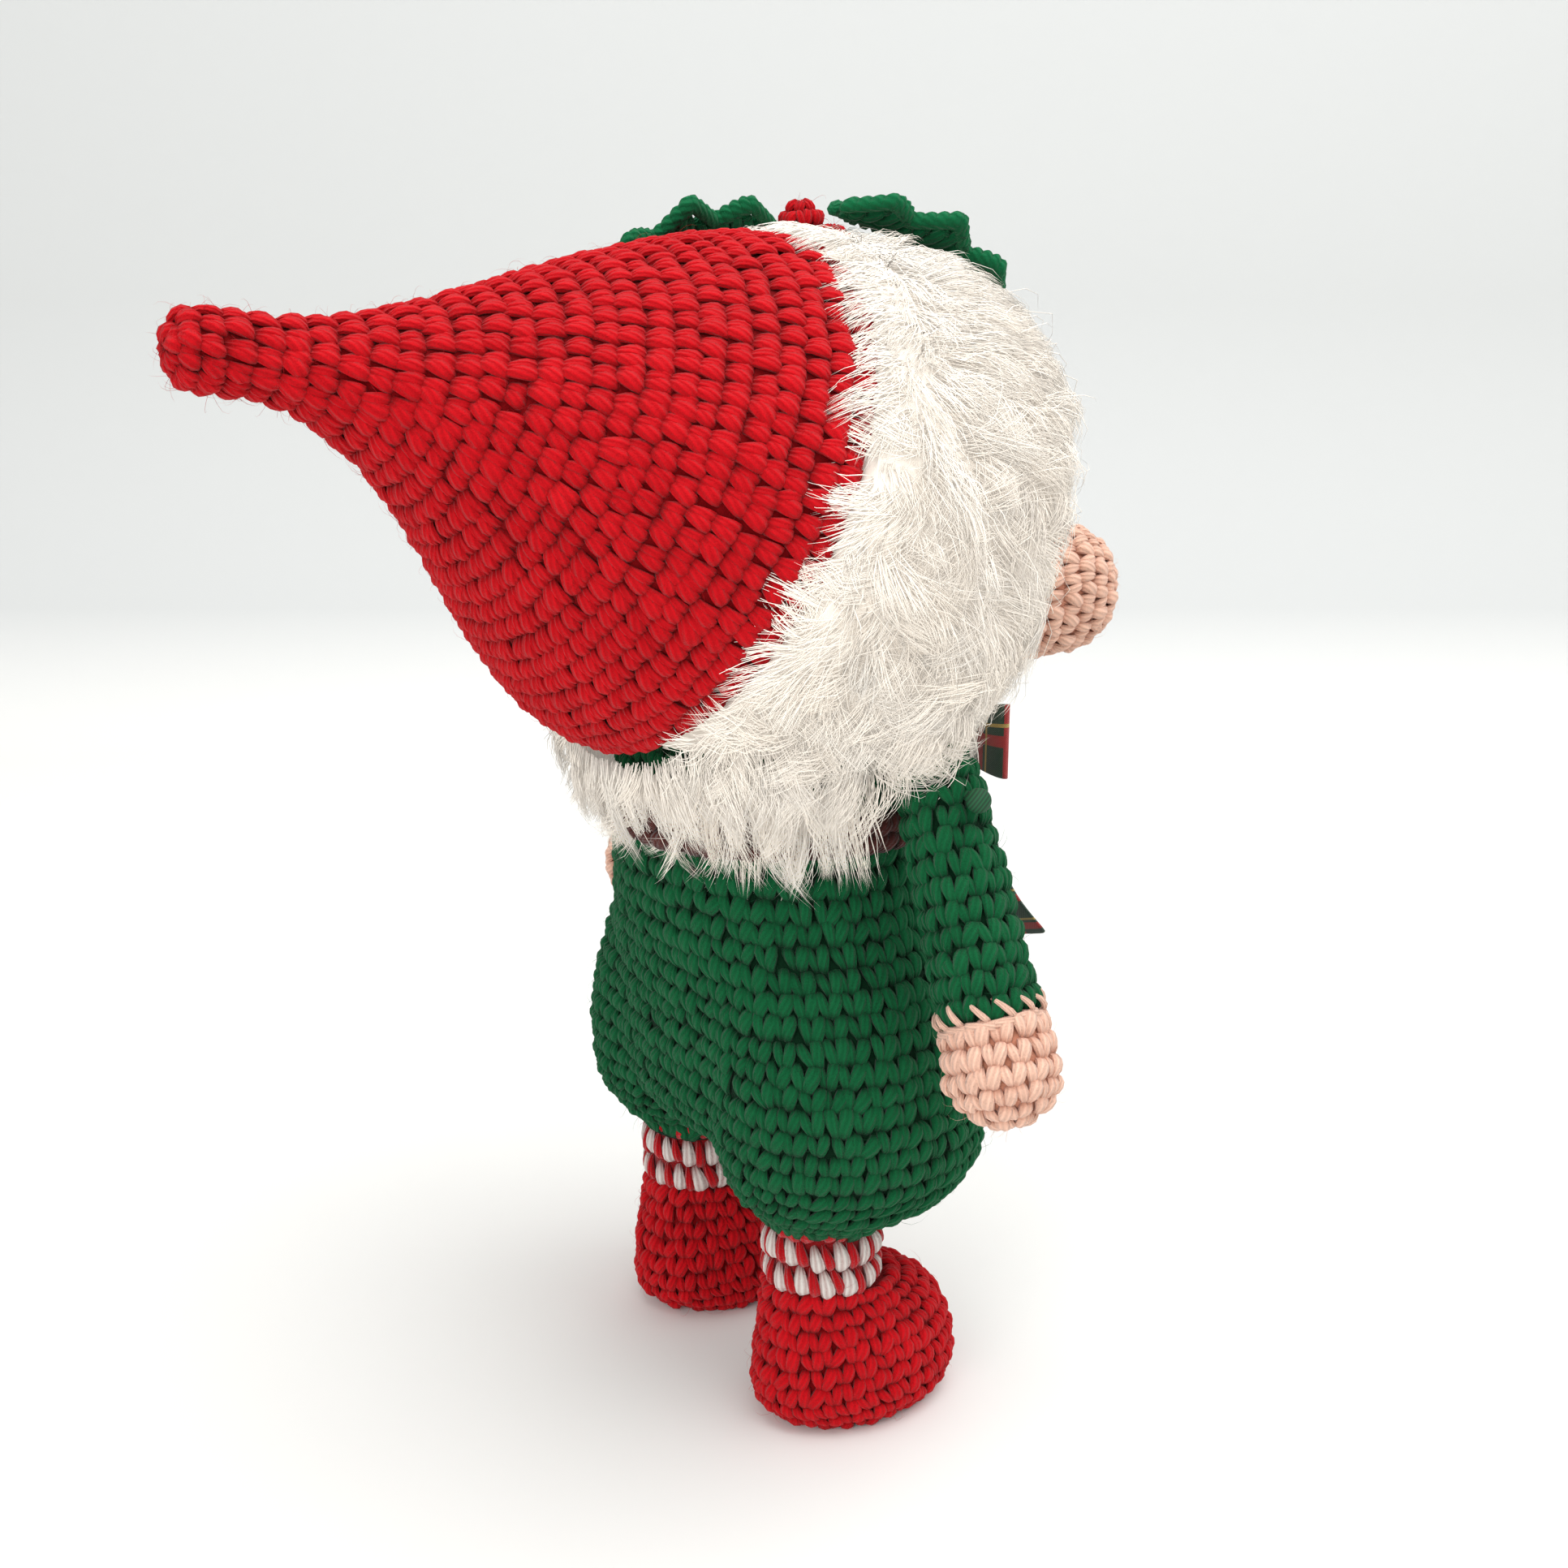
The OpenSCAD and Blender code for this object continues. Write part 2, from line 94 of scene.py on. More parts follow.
class GnomeYarn(bpy.types.PropertyGroup):
    stitch_w: distance("Stitch width", 3.1, 2, 5, "Width of one stitch along its round")
    round_h: distance("Round height", 2.8, 2, 5, "Height of one round of stitches")
    sock_round_h: distance("Sock round height", 4.2, 3, 5, "Height of one round of the striped sock")
    depth: distance("Yarn depth", 1.0, 0.5, 2, "How far the backing lies below the tops of the stitches")
    fibres: bpy.props.IntProperty(
        name="Loose fibres", description="Loose fibres on each hundred stitches", default=80, min=0, max=300)


class GnomeColours(bpy.types.PropertyGroup):
    red: colour("Red", (186, 2, 16), "Red cotton of the hat and shoes")
    green: colour("Green", (4, 84, 46), "Green cotton of the shorts and sleeves")
    holly: colour("Holly", (8, 98, 58), "Dark green cotton of the holly leaves")
    skin: colour("Skin", (230, 184, 162), "Peach cotton of the hands, nose and head")
    white: colour("White", (222, 214, 208), "White cotton of the striped socks")
    brown: colour("Brown", (84, 42, 38), "Brown yarn of the belt")
    fur: colour("Fur", (255, 249, 240), "White pile of the beard and the hat's trim")
    ribbon: colour("Ribbon", (14, 66, 40), "Green ground of the plaid ribbon")
    ribbon_red: colour("Ribbon check", (196, 40, 40), "Red bands of the plaid ribbon")
    ribbon_gold: colour("Ribbon line", (214, 178, 92), "Gold lines of the plaid ribbon")


class GnomeFur(bpy.types.PropertyGroup):
    strands: bpy.props.IntProperty(
        name="Strands", description="Strands of pile over the head", default=46000, min=5000, max=60000)
    locks: bpy.props.IntProperty(
        name="Locks", description="Locks that the strands gather into", default=1500, min=100, max=3000)
    length: distance("Length", 8.6, 4, 16, "Length of a strand")
    radius: distance("Radius", 0.066, 0.03, 0.2, "Radius of a strand at its root")
    pile: distance("Pile", 3.6, 2, 6, "Depth of the pile above its backing")


class GnomeShape(bpy.types.PropertyGroup):
    hat_lean: angle("Hat lean", 26, 20, 32, "Angle that the hat leans up from straight back")
    rim_ahead: distance("Hat rim", 14, 10, 18, "From the middle of the head to the hat's rim, along the hat")
    fur_shift: distance("Fur shift", 4.5, 0, 8, "How far the ball of fur sits in front of the head's middle")
    hip_depth: distance("Hip depth", 37, 33, 42, "Depth of the hips, front to back")
    tip_w: distance("Hat tip", 9.4, 8, 12, "Width of the hat's narrow tip")
    arm_out: angle("Arm angle", 27, 25, 32, "Angle that an arm leans out from straight down")
    cuff_down: distance("Cuff", 28.4, 24, 34, "From the shoulder thread down to the cuff")
    sleeve_w: distance("Sleeve width", 10.8, 9, 11, "Width of the sleeve at the shoulder")
    cuff_w: distance("Cuff width", 12.8, 11, 14, "Width of the sleeve at the cuff")
    hand_w: distance("Hand width", 14.2, 12, 16, "Width of the mitten hand")
    hand_len: distance("Hand length", 13, 11, 16, "Length of the hand below the cuff")
    leaf_len: distance("Leaf length", 27, 22, 30, "Length of a holly leaf")
    leaf_w: distance("Leaf width", 15, 12, 18, "Width of a holly leaf")
    berry_w: distance("Berry width", 6.4, 5, 7, "Width of a holly berry")


class GnomeStage(bpy.types.PropertyGroup):
    azimuth: angle("Camera azimuth", 238.52, 0, 360, "Direction of the camera round the doll")
    rise: angle("Camera elevation", 16.15, -10, 80, "Height of the camera above the horizon")
    away: distance("Camera distance", 259, 100, 2000, "From the camera to its target")
    target_z: distance("Target height", 85, 0, 200, "Height of the camera's target")
    lens: bpy.props.FloatProperty(
        name="Lens", description="Focal length of the camera", default=45.76, min=10, max=200,
        subtype="DISTANCE_CAMERA", unit="CAMERA")
    wall: distance("Wall", 300, 200, 2000, "How far behind the doll the floor starts to rise")
    key: bpy.props.FloatProperty(
        name="Key light", description="Power of the soft light overhead", default=3.9, min=0, max=50,
        subtype="POWER", unit="POWER")
    fill: bpy.props.FloatProperty(
        name="Fill light", description="Power of the soft light beside the camera", default=1.7, min=0,
        max=50, subtype="POWER", unit="POWER")
    sky: bpy.props.FloatProperty(
        name="Room light", description="Brightness of the light from all round", default=0.76, min=0, max=5)


# ---------------------------------------------------------------- measures

def measure(node):
    """Lowest and highest corner of a node of the frame, in millimetres."""
    low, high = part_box(node)
    return np.array(low) / MM, np.array(high) / MM


def middle(node):
    low, high = measure(node)
    return (low + high) / 2


def unit(v):
    return v / np.maximum(np.linalg.norm(v, axis=-1, keepdims=True), 1e-9)


def smooth(low, high, x):
    t = np.clip((x - low) / (high - low), 0, 1)
    return t * t * (3 - 2 * t)


def sizes(group):
    """The lengths and angles of one group of settings, with lengths in millimetres."""
    values = getattr(bpy.context.scene, group)
    found = {}
    for key in values.__annotations__:
        value = getattr(values, key)
        found[key] = value / MM if values.bl_rna.properties[key].subtype == "DISTANCE" else value
    return found


def head_centre():
    low, high = measure("head")
    return np.array([0, (low[1] + high[1]) / 2, high[2] - (high[0] - low[0]) / 2])


def hat_axis():
    lean = bpy.context.scene.gnome_shape.hat_lean
    return np.array([0, math.cos(lean), math.sin(lean)])


# ---------------------------------------------------------------- cloth and stitches

class Cloth:
    """A round surface, as a grid of points whose columns go along it and whose rows go round it."""

    def __init__(self, grid):
        grid = self.evened_along(np.asarray(grid, float))
        grid = self.evened_round(grid)
        if self.facing(grid) < 0:
            grid = grid[::-1]
        self.grid = grid
        self.normals = self.found_normals(grid)
        steps = np.linalg.norm(np.diff(grid, axis=1), axis=2)
        self.length = steps.sum(1).mean()

    @staticmethod
    def evened_along(grid):
        """Each column gets points at equal distances, so that rounds have one height all round."""
        out = np.empty_like(grid)
        share = np.linspace(0, 1, grid.shape[1])
        for i, column in enumerate(grid):
            run = np.concatenate([[0], np.cumsum(np.linalg.norm(np.diff(column, axis=0), axis=1))])
            for k in range(3):
                out[i, :, k] = np.interp(share * run[-1], run, column[:, k])
        return out

    @staticmethod
    def evened_round(grid):
        """Each ring gets points at equal distances, so that stitches have one width."""
        out = np.empty_like(grid)
        share = np.linspace(0, 1, grid.shape[0] + 1)[:-1]
        for j in range(grid.shape[1]):
            ring = np.vstack([grid[:, j], grid[:1, j]])
            run = np.concatenate([[0], np.cumsum(np.linalg.norm(np.diff(ring, axis=0), axis=1))])
            for k in range(3):
                out[:, j, k] = np.interp(share * run[-1], run, ring[:, k])
        return out

    @staticmethod
    def raw_normals(grid):
        across = np.roll(grid, -1, 0) - np.roll(grid, 1, 0)
        return np.cross(across, np.gradient(grid, axis=1))

    def facing(self, grid):
        """Above 0 where round, along and outwards go by the right hand."""
        out = grid - grid.mean(0, keepdims=True)
        return np.sign((self.raw_normals(grid) * out).sum())

    def found_normals(self, grid):
        n = unit(self.raw_normals(grid))
        n[:, 0], n[:, -1] = n[:, 1], n[:, -2]
        return n

    def girth(self, along):
        ring = self.grid[:, int(round(np.clip(along, 0, 1) * (self.grid.shape[1] - 1)))]
        return np.linalg.norm(ring - np.roll(ring, 1, 0), axis=1).sum()

    def at(self, turn, along):
        """Points and normals at shares of a turn and of the way along."""
        turns, steps = self.grid.shape[:2]
        t, s = (turn % 1) * turns, along * (steps - 1)
        i, j = np.floor(t).astype(int) % turns, np.clip(np.floor(s).astype(int), 0, steps - 2)
        i2, ft, fs = (i + 1) % turns, (t - np.floor(t))[..., None], (s - j)[..., None]

        def between(g):
            return ((g[i, j] * (1 - ft) + g[i2, j] * ft) * (1 - fs)
                    + (g[i, j + 1] * (1 - ft) + g[i2, j + 1] * ft) * fs)

        return between(self.grid), unit(between(self.normals))


def straight_yarn(sides, rings):
    """A straight closed length of yarn of radius 1 from height 0 to 1, modelled once for all its copies."""
    bpy.ops.object.select_all(action="DESELECT")
    bpy.ops.mesh.primitive_circle_add(vertices=sides, radius=1, fill_type="NGON")
    made = bpy.context.object
    bpy.ops.object.mode_set(mode="EDIT")
    for _ in range(rings - 1):
        bpy.ops.mesh.extrude_region_move(TRANSFORM_OT_translate={"value": (0, 0, 1 / (rings - 1))})
    bpy.ops.mesh.select_all(action="SELECT")
    bpy.ops.mesh.normals_make_consistent(inside=False)
    bpy.ops.object.mode_set(mode="OBJECT")
    points = np.array([v.co for v in made.data.vertices])
    faces = [tuple(p.vertices) for p in made.data.polygons]
    bpy.data.objects.remove(made)
    quads = np.array([f for f in faces if len(f) == 4 and np.ptp(points[list(f), 2]) > 1e-4])
    ends = [f for f in faces if np.ptp(points[list(f), 2]) < 1e-4]
    tris = np.array([(f[0], f[k], f[k + 1]) for f in ends for k in range(1, len(f) - 1)])
    return {"points": points, "quads": quads, "tris": tris, "rings": rings}


def bent_yarn(yarn, path, wide, deep):
    """Yarn along a path of (across, along, height), with its half width and half depth at each ring."""
    path, wide, deep = np.array(path, float), np.array(wide, float), np.array(deep, float)
    k = np.round(yarn["points"][:, 2] * (yarn["rings"] - 1)).astype(int)
    x, y = yarn["points"][:, 0], yarn["points"][:, 1]
    run = np.gradient(path[:, :2], axis=0)
    side = unit(np.stack([run[:, 1], -run[:, 0]], 1))
    points = path[k].copy()
    points[:, :2] += side[k] * (x * wide[k])[:, None]
    points[:, 2] += y * deep[k]
    around = np.arctan2(y, x) / TAU % 1
    corners = []
    for face in list(yarn["quads"]) + list(yarn["tris"]):
        v = around[face]
        v = np.where((np.ptp(v) > 0.5) & (v < 0.5), v + 1, v)
        corners.append(np.stack([yarn["points"][face, 2], v], 1))
    quads, tris = yarn["quads"], yarn["tris"]
    if winding(points, quads) < 0:
        quads, tris = quads[:, ::-1], tris[:, ::-1]
        corners = [c[::-1] for c in corners]
    return {"points": points, "quads": quads, "tris": tris, "uv": np.vstack(corners)}


def winding(points, quads):
    """Above 0 where the faces of a closed strand point outwards."""
    a, b, c, d = (points[quads[:, k]] for k in range(4))
    centre = points.mean(0)
    return ((np.cross(c - a, d - b)) * ((a + b + c + d) / 4 - centre)).sum()


class Pile:
    """Gathers many copies of small closed shapes into one mesh."""

    def __init__(self):
        self.points, self.quads, self.tris, self.quad_uv, self.tri_uv = [], [], [], [], []
        self.marks, self.count = {}, 0

    def add(self, points, shape, **marks):
        """points is copies x vertices x 3; marks are one value for each copy and vertex."""
        copies, each = points.shape[:2]
        shift = self.count + np.arange(copies)[:, None, None] * each
        corners = 4 * len(shape["quads"])
        self.points.append(points.reshape(-1, 3))
        self.quads.append((shape["quads"][None] + shift).reshape(-1, 4))
        self.tris.append((shape["tris"][None] + shift).reshape(-1, 3))
        self.quad_uv.append(np.tile(shape["uv"][:corners], (copies, 1)))
        self.tri_uv.append(np.tile(shape["uv"][corners:], (copies, 1)))
        for key, value in marks.items():
            value = np.broadcast_to(np.asarray(value, float), (copies, each))
            self.marks.setdefault(key, []).append(value.ravel())
        self.count += copies * each

    def mesh(self, name):
        points = np.vstack(self.points) * MM
        quads, tris = np.vstack(self.quads), np.vstack(self.tris)
        corners = np.concatenate([quads.ravel(), tris.ravel()]).astype(np.int32)
        starts = np.concatenate([np.arange(len(quads)) * 4, len(quads) * 4 + np.arange(len(tris)) * 3])
        me = bpy.data.meshes.new(name)
        me.vertices.add(len(points))
        me.vertices.foreach_set("co", points.astype(np.float32).ravel())
        me.loops.add(len(corners))
        me.loops.foreach_set("vertex_index", corners)
        me.polygons.add(len(starts))
        me.polygons.foreach_set("loop_start", starts.astype(np.int32))
        me.polygons.foreach_set("use_smooth", np.ones(len(starts), bool))
        me.update(calc_edges=True)
        uv = np.vstack(self.quad_uv + self.tri_uv)
        me.uv_layers.new(name="yarn").data.foreach_set("uv", uv.astype(np.float32).ravel())
        for key, values in self.marks.items():
            mark = me.attributes.new(key, "FLOAT", "POINT")
            mark.data.foreach_set("value", np.concatenate(values).astype(np.float32))
        return me


def piece(name, me, material, body=BODY, stands_for=()):
    """Puts a finished mesh in the scene as a piece that rides on a body of the frame."""
    if name in bpy.data.objects:
        raise RuntimeError(f"{name} is there already: start from an empty scene")
    obj = bpy.data.objects.new(name, me)
    bpy.context.scene.collection.objects.link(obj)
    me.materials.append(material)
    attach(obj, body)
    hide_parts(*stands_for)
    return obj


def crown(height):
    """1 on top of a stitch and 0 deep between stitches, where the materials paint shade into the hollows."""
    return smooth(-1.15, 0.0, height)


def stitch_row(turn, along, high, number):
    """The cells of one round, whose stitches share its place along the cloth and its height."""
    n = len(turn)
    return np.stack([turn, *(np.full(n, value) for value in (1 / n, along, high, number))], 1)


def stitch_cells(cloth, round_h, stitch_w, rng, drift=0.5):
    """One row of values for each stitch: turn, its width in turns, along, its height and its round."""
    rounds = max(1, round(cloth.length / round_h))
    high, phase, cells = 1 / rounds, 0.0, []
    for j in range(rounds):
        n = max(FEWEST_STITCHES, round(cloth.girth((j + 0.55) * high) / stitch_w))
        phase += drift / n
        turn = (np.arange(n) + 0.5) / n + phase + rng.normal(0, 0.035, n) / n
        cells.append(stitch_row(turn, j * high, high, j))
    return np.vstack(cells)


def hand_made(cells, rng):
    """How far each stitch differs from its neighbours: turn, width, height, shifts and lift."""
    n = (len(cells), 1)
    turn, number = cells[:, :1] * TAU, cells[:, 4:5]
    wave = np.sin(turn * 3 + number * 1.7) + np.sin(turn * 5 - number * 2.3)
    return {"twist": rng.normal(0, 0.11, n), "wide": rng.normal(1, 0.08, n), "tall": rng.normal(1, 0.06, n),
            "across": rng.normal(0, 0.06, n), "along": rng.normal(0, 0.04, n) + 0.04 * wave,
            "lift": rng.normal(0, 0.1, n) - 0.02}


def lay(pile, cloth, cells, shape, rng, by_hand=None, **marks):
    """Lays a copy of one yarn shape on each cell of the cloth."""
    m = by_hand or hand_made(cells, rng)
    x = shape["points"][None, :, 0] * m["wide"]
    y = (shape["points"][None, :, 1] - 0.5) * m["tall"]
    bend = m["twist"] + rng.normal(0, 0.05, (len(cells), 1))
    turn = cells[:, :1] + (x * np.cos(bend) - y * np.sin(bend) + m["across"]) * cells[:, 1:2]
    along = cells[:, 2:3] + (x * np.sin(bend) + y * np.cos(bend) + 0.5 + m["along"]) * cells[:, 3:4]
    height = shape["points"][None, :, 2] + m["lift"] + rng.normal(0, 0.05, (len(cells), 1))
    base, normal = cloth.at(turn, along)
    # Each point's height sets its painted shade: full shade deep between the stitches, none on top.
    pile.add(base + normal * height[..., None], shape, crown=crown(height), **marks)


def stitch_legs(spread=0.2, lean=0.0, fat=0.265, sides=7):
    """The two legs of one stitch, which rise from one hole and part towards the next round."""
    yarn = straight_yarn(sides, 7)
    along = np.array([-0.3, -0.06, 0.2, 0.48, 0.74, 0.98, 1.2])
    high = np.array([-1.7, -1.0, -0.58, -0.42, -0.46, -0.8, -1.7])
    wide = fat * np.array([0.6, 0.84, 1.0, 1.12, 1.14, 1.0, 0.6])
    legs = []
    for side, full, sunk in ((-1, 0.95, -0.08), (1, 1.06, 0.04)):
        across = side * (0.12 + spread * smooth(-0.1, 1.0, along)) + lean * (along - 0.5)
        path = np.stack([across, along, high + sunk], 1)
        legs.append(bent_yarn(yarn, path, wide * full, 0.5 * wide * full / fat))
    return legs


def backing(pile, cloth, depth):
    """A closed skin below the stitches, coloured all over in the painted shade colour, so that the holes
    between them look deep and dark.
    """
    turns, steps = 64, 48
    turn, along = np.meshgrid(np.arange(turns) / turns, np.linspace(0, 1, steps), indexing="ij")
    base, normal = cloth.at(turn, along)
    points = (base - normal * depth).reshape(1, -1, 3)
    index = np.arange(turns * steps).reshape(turns, steps)
    after = np.roll(index, -1, 0)
    quads = np.stack([index[:, :-1], after[:, :-1], after[:, 1:], index[:, 1:]], -1).reshape(-1, 4)
    fan = np.arange(1, turns - 1)
    low, high = index[:, 0], index[:, -1]
    tris = np.vstack([np.stack([low[0] + 0 * fan, low[fan + 1], low[fan]], 1),
                      np.stack([high[0] + 0 * fan, high[fan], high[fan + 1]], 1)])
    shape = {"points": points[0], "quads": quads, "tris": tris, "uv": np.zeros((quads.size + tris.size, 2))}
    # Painted shade: the skin takes only the material's dark colour of the hollows.
    pile.add(points, shape, crown=0.0, tone=0.5, dye=0.0, fibre=0.0)


def hair_shape():
    """A thin strand: three sides, four rings and a point."""
    sides, rings = 3, 4
    quads, around = [], np.arange(sides)
    for j in range(rings - 1):
        for i in around:
            k = (i + 1) % sides
            quads.append((j * sides + i, j * sides + k, (j + 1) * sides + k, (j + 1) * sides + i))
    tip, last = sides * rings, sides * (rings - 1)
    tris = [(last + i, last + (i + 1) % sides, tip) for i in around] + [(0, 2, 1)]
    points = np.zeros((tip + 1, 3))
    points[:, 2] = np.append(np.repeat(np.arange(rings), sides), rings) / rings
    quads, tris = np.array(quads), np.array(tris)
    uv = np.stack([points[np.concatenate([quads.ravel(), tris.ravel()]), 2]] * 2, 1)
    return {"points": points, "quads": quads, "tris": tris, "uv": uv}


def hairs(paths, radius):
    """Strand vertices for paths of strands x 5 x 3, thinner towards the tip."""
    run = unit(np.gradient(paths, axis=1))
    first = unit(np.cross(run, UP + 0.01))
    second = np.cross(run, first)
    points = []
    for j, share in enumerate((1.0, 0.95, 0.75, 0.45)):
        for i in range(3):
            a = TAU * i / 3
            r = radius[:, None] * share
            points.append(paths[:, j] + first[:, j] * math.cos(a) * r + second[:, j] * math.sin(a) * r)
    points.append(paths[:, 4])
    return np.stack(points, 1)


def loose_fibres(pile, cloth, count, rng):
    """Fine loose fibres that stand off the yarn in small curves."""
    turn, along = rng.random(count), rng.uniform(0.02, 0.98, count)
    base, normal = cloth.at(turn, along)
    side = unit(np.cross(normal, unit(rng.normal(size=(count, 3)))))
    bend = np.cross(normal, side) * rng.normal(0, 0.5, (count, 1))
    length = rng.uniform(0.8, 3.4, (count, 1))
    s = np.linspace(0, 1, 5)[None, :, None]
    out = rng.uniform(0.1, 0.55, (count, 1))
    paths = (base[:, None] + side[:, None] * (length[:, None] * s) + bend[:, None] * (length[:, None] * s * s)
             + normal[:, None] * (out[:, None] * length[:, None] * np.sin(s * 2.4) - 0.3))
    radius = rng.uniform(0.011, 0.022, count)
    pile.add(hairs(paths, radius), hair_shape(), crown=1.0, tone=0.9, dye=0.0, fibre=1.0)


def crochet(cloth, legs, seed, round_h=None, stitch_w=None, drift=0.5, dye=None, fuzz=1.0):
    """A pile of stitches over the whole cloth, with its backing and loose fibres."""
    yarn = sizes("gnome_yarn")
    rng = np.random.default_rng(SEED + seed)
    pile = Pile()
    cells = stitch_cells(cloth, round_h or yarn["round_h"], stitch_w or yarn["stitch_w"], rng, drift)
    tone = np.clip(rng.normal(0.5, 0.17, (len(cells), 1)), 0, 1)
    by_hand = hand_made(cells, rng)
    for k, leg in enumerate(legs):
        colour_of = np.zeros((len(cells), 1)) if dye is None else dye(cells, k)
        lay(pile, cloth, cells, leg, rng, by_hand, tone=tone, dye=colour_of, fibre=0.0)
    backing(pile, cloth, yarn["depth"])
    loose_fibres(pile, cloth, int(len(cells) * yarn["fibres"] / 100 * fuzz), rng)
    return pile


# ---------------------------------------------------------------- shapes of the pieces

def round_grid(turns=192, steps=140):
    return np.meshgrid(np.arange(turns) / turns * TAU, np.linspace(0, 1, steps), indexing="ij")


def shoe_cloth(side):
    """From the middle of the sole, out to its edge and up to the ankle."""
    low, high = measure(f"{side}_shoe")
    sock_low, sock_high = measure(f"{side}_sock")
    a, s = round_grid()
    sock_r = (sock_high[0] - sock_low[0]) / 2
    leg_y, tall, edge = (sock_low[1] + sock_high[1]) / 2, high[2], 0.2
    z = tall * np.clip((s - edge) / (1 - edge), 0, 1)
    half_w = (high[0] - low[0]) / 2 - ((high[0] - low[0]) / 2 - sock_r) * (z / tall) ** 2
    rise = np.maximum(0, z - WELT_Z) / (tall - 4.5)
    toe = middle_y(low, high) - (high[1] - low[1]) / 2 * np.sqrt(1 - rise ** 2)
    heel = high[1] - (high[1] - leg_y - sock_r) * (z / tall) ** 2
    sole = np.sqrt(1 - (np.maximum(0, WELT_Z - z) / SOLE_ROUND_H) ** 2) * np.clip(s / edge, 0.02, 1)
    x = (low[0] + high[0]) / 2 + half_w * sole * np.cos(a)
    y = (toe + heel) / 2 + (heel - toe) / 2 * sole * np.sin(a)
    return Cloth(np.stack([x, y, z], -1))


def middle_y(low, high):
    return (low[1] + high[1]) / 2


def tube_cloth(centre, radius, low, high):
    a, s = round_grid()
    x, y = centre[0] + radius * np.cos(a), centre[1] + radius * np.sin(a)
    return Cloth(np.stack([x, y, low + (high - low) * s], -1))


def ray_to_oval(a, cx, cy, rx, ry):
    """Distance from the origin to the far side of an oval, along the angle a, or 0 where it misses."""
    ux, uy = np.cos(a) / rx, np.sin(a) / ry
    px, py = cx / rx, cy / ry
    qa, qb, qc = ux * ux + uy * uy, -2 * (ux * px + uy * py), px * px + py * py - 1
    inside = qb * qb - 4 * qa * qc
    return np.where(inside > 0, (-qb + np.sqrt(np.maximum(inside, 0))) / (2 * qa), 0)


def shorts_sizes():
    low, high = measure("shorts")
    belt_low, belt_high = measure("belt")
    sock = middle("right_sock")
    return {
        "half_w": high[0], "depth": sizes("gnome_shape")["hip_depth"], "y": middle_y(belt_low, belt_high),
        "top": high[2], "low": low[2],
        "waist_r": (belt_high[0] - belt_low[0]) / 2 - 1.6, "leg_x": -sock[0], "leg_y": sock[1],
        "hip_z": low[2] + 18, "fork_z": low[2] + 10.5,
    }


def leg_share(z, k):
    """How full a leg of the shorts is at a height, from 1 at the hips."""
    u = np.clip((k["hip_z"] - z) / (k["hip_z"] - k["low"]), 0, 1)
    return (1 - u ** 2.9) ** (1 / 2.9)


def shorts_body_cloth():
    """From the fork of the legs up to the waist: the outline of the body and both legs together."""
    k = shorts_sizes()
    a, s = round_grid()
    z = k["fork_z"] + (k["top"] - k["fork_z"]) * s
    share = (1 - np.cos(np.pi * np.clip((k["top"] - z) / (k["top"] - k["hip_z"]), 0, 1))) / 2
    close = np.sqrt(1 - (np.maximum(0, k["hip_z"] - z) / 15) ** 2)
    rx = (k["waist_r"] + (k["half_w"] - 0.5 - k["waist_r"]) * share) * close
    ry = (k["waist_r"] + (k["depth"] / 2 - k["waist_r"]) * share) * close
    far = ray_to_oval(a, 0, 0, rx, ry)
    full = leg_share(z, k)
    thigh = np.clip((z - k["hip_z"]) / (k["top"] - k["hip_z"]), 0, 1)
    leg_rx = k["half_w"] - k["leg_x"] - 1
    thigh_rx = leg_rx * full * (1 - 0.62 * thigh ** 1.7)
    thigh_ry = k["depth"] / 2 * full * (1 - 0.42 * thigh ** 2.4)
    for side in (-1, 1):
        thigh_x = side * (k["leg_x"] + 1 - 8 * thigh)
        far = np.maximum(far, ray_to_oval(a, thigh_x, -0.6, thigh_rx, thigh_ry))
    for _ in range(5):
        far = (np.roll(far, 1, 0) + 2 * far + np.roll(far, -1, 0)) / 4
        far[:, 1:-1] = (far[:, :-2] + 2 * far[:, 1:-1] + far[:, 2:]) / 4
    return Cloth(np.stack([far * np.cos(a), k["y"] + far * np.sin(a), z], -1))


def shorts_leg_cloth(side):
    """From the hole round the sock, under the full leg and up to the fork."""
    k = shorts_sizes()
    a, s = round_grid()
    z = k["low"] + 1.2 + (k["fork_z"] - k["low"] - 1.2) * s ** 1.6
    share = leg_share(z, k)
    pull = np.clip((1 - share) / 0.42, 0, 1) ** 2
    rx = (k["half_w"] - k["leg_x"] - 1) * share * (1 - pull) + 8.4 * pull
    ry = k["depth"] / 2 * share * (1 - pull) + 8.4 * pull
    cx = side * (k["leg_x"] + 1 - pull)
    cy = (k["y"] - 0.6) * (1 - pull) + k["leg_y"] * pull
    return Cloth(np.stack([cx + rx * np.cos(a), cy + ry * np.sin(a), z], -1))


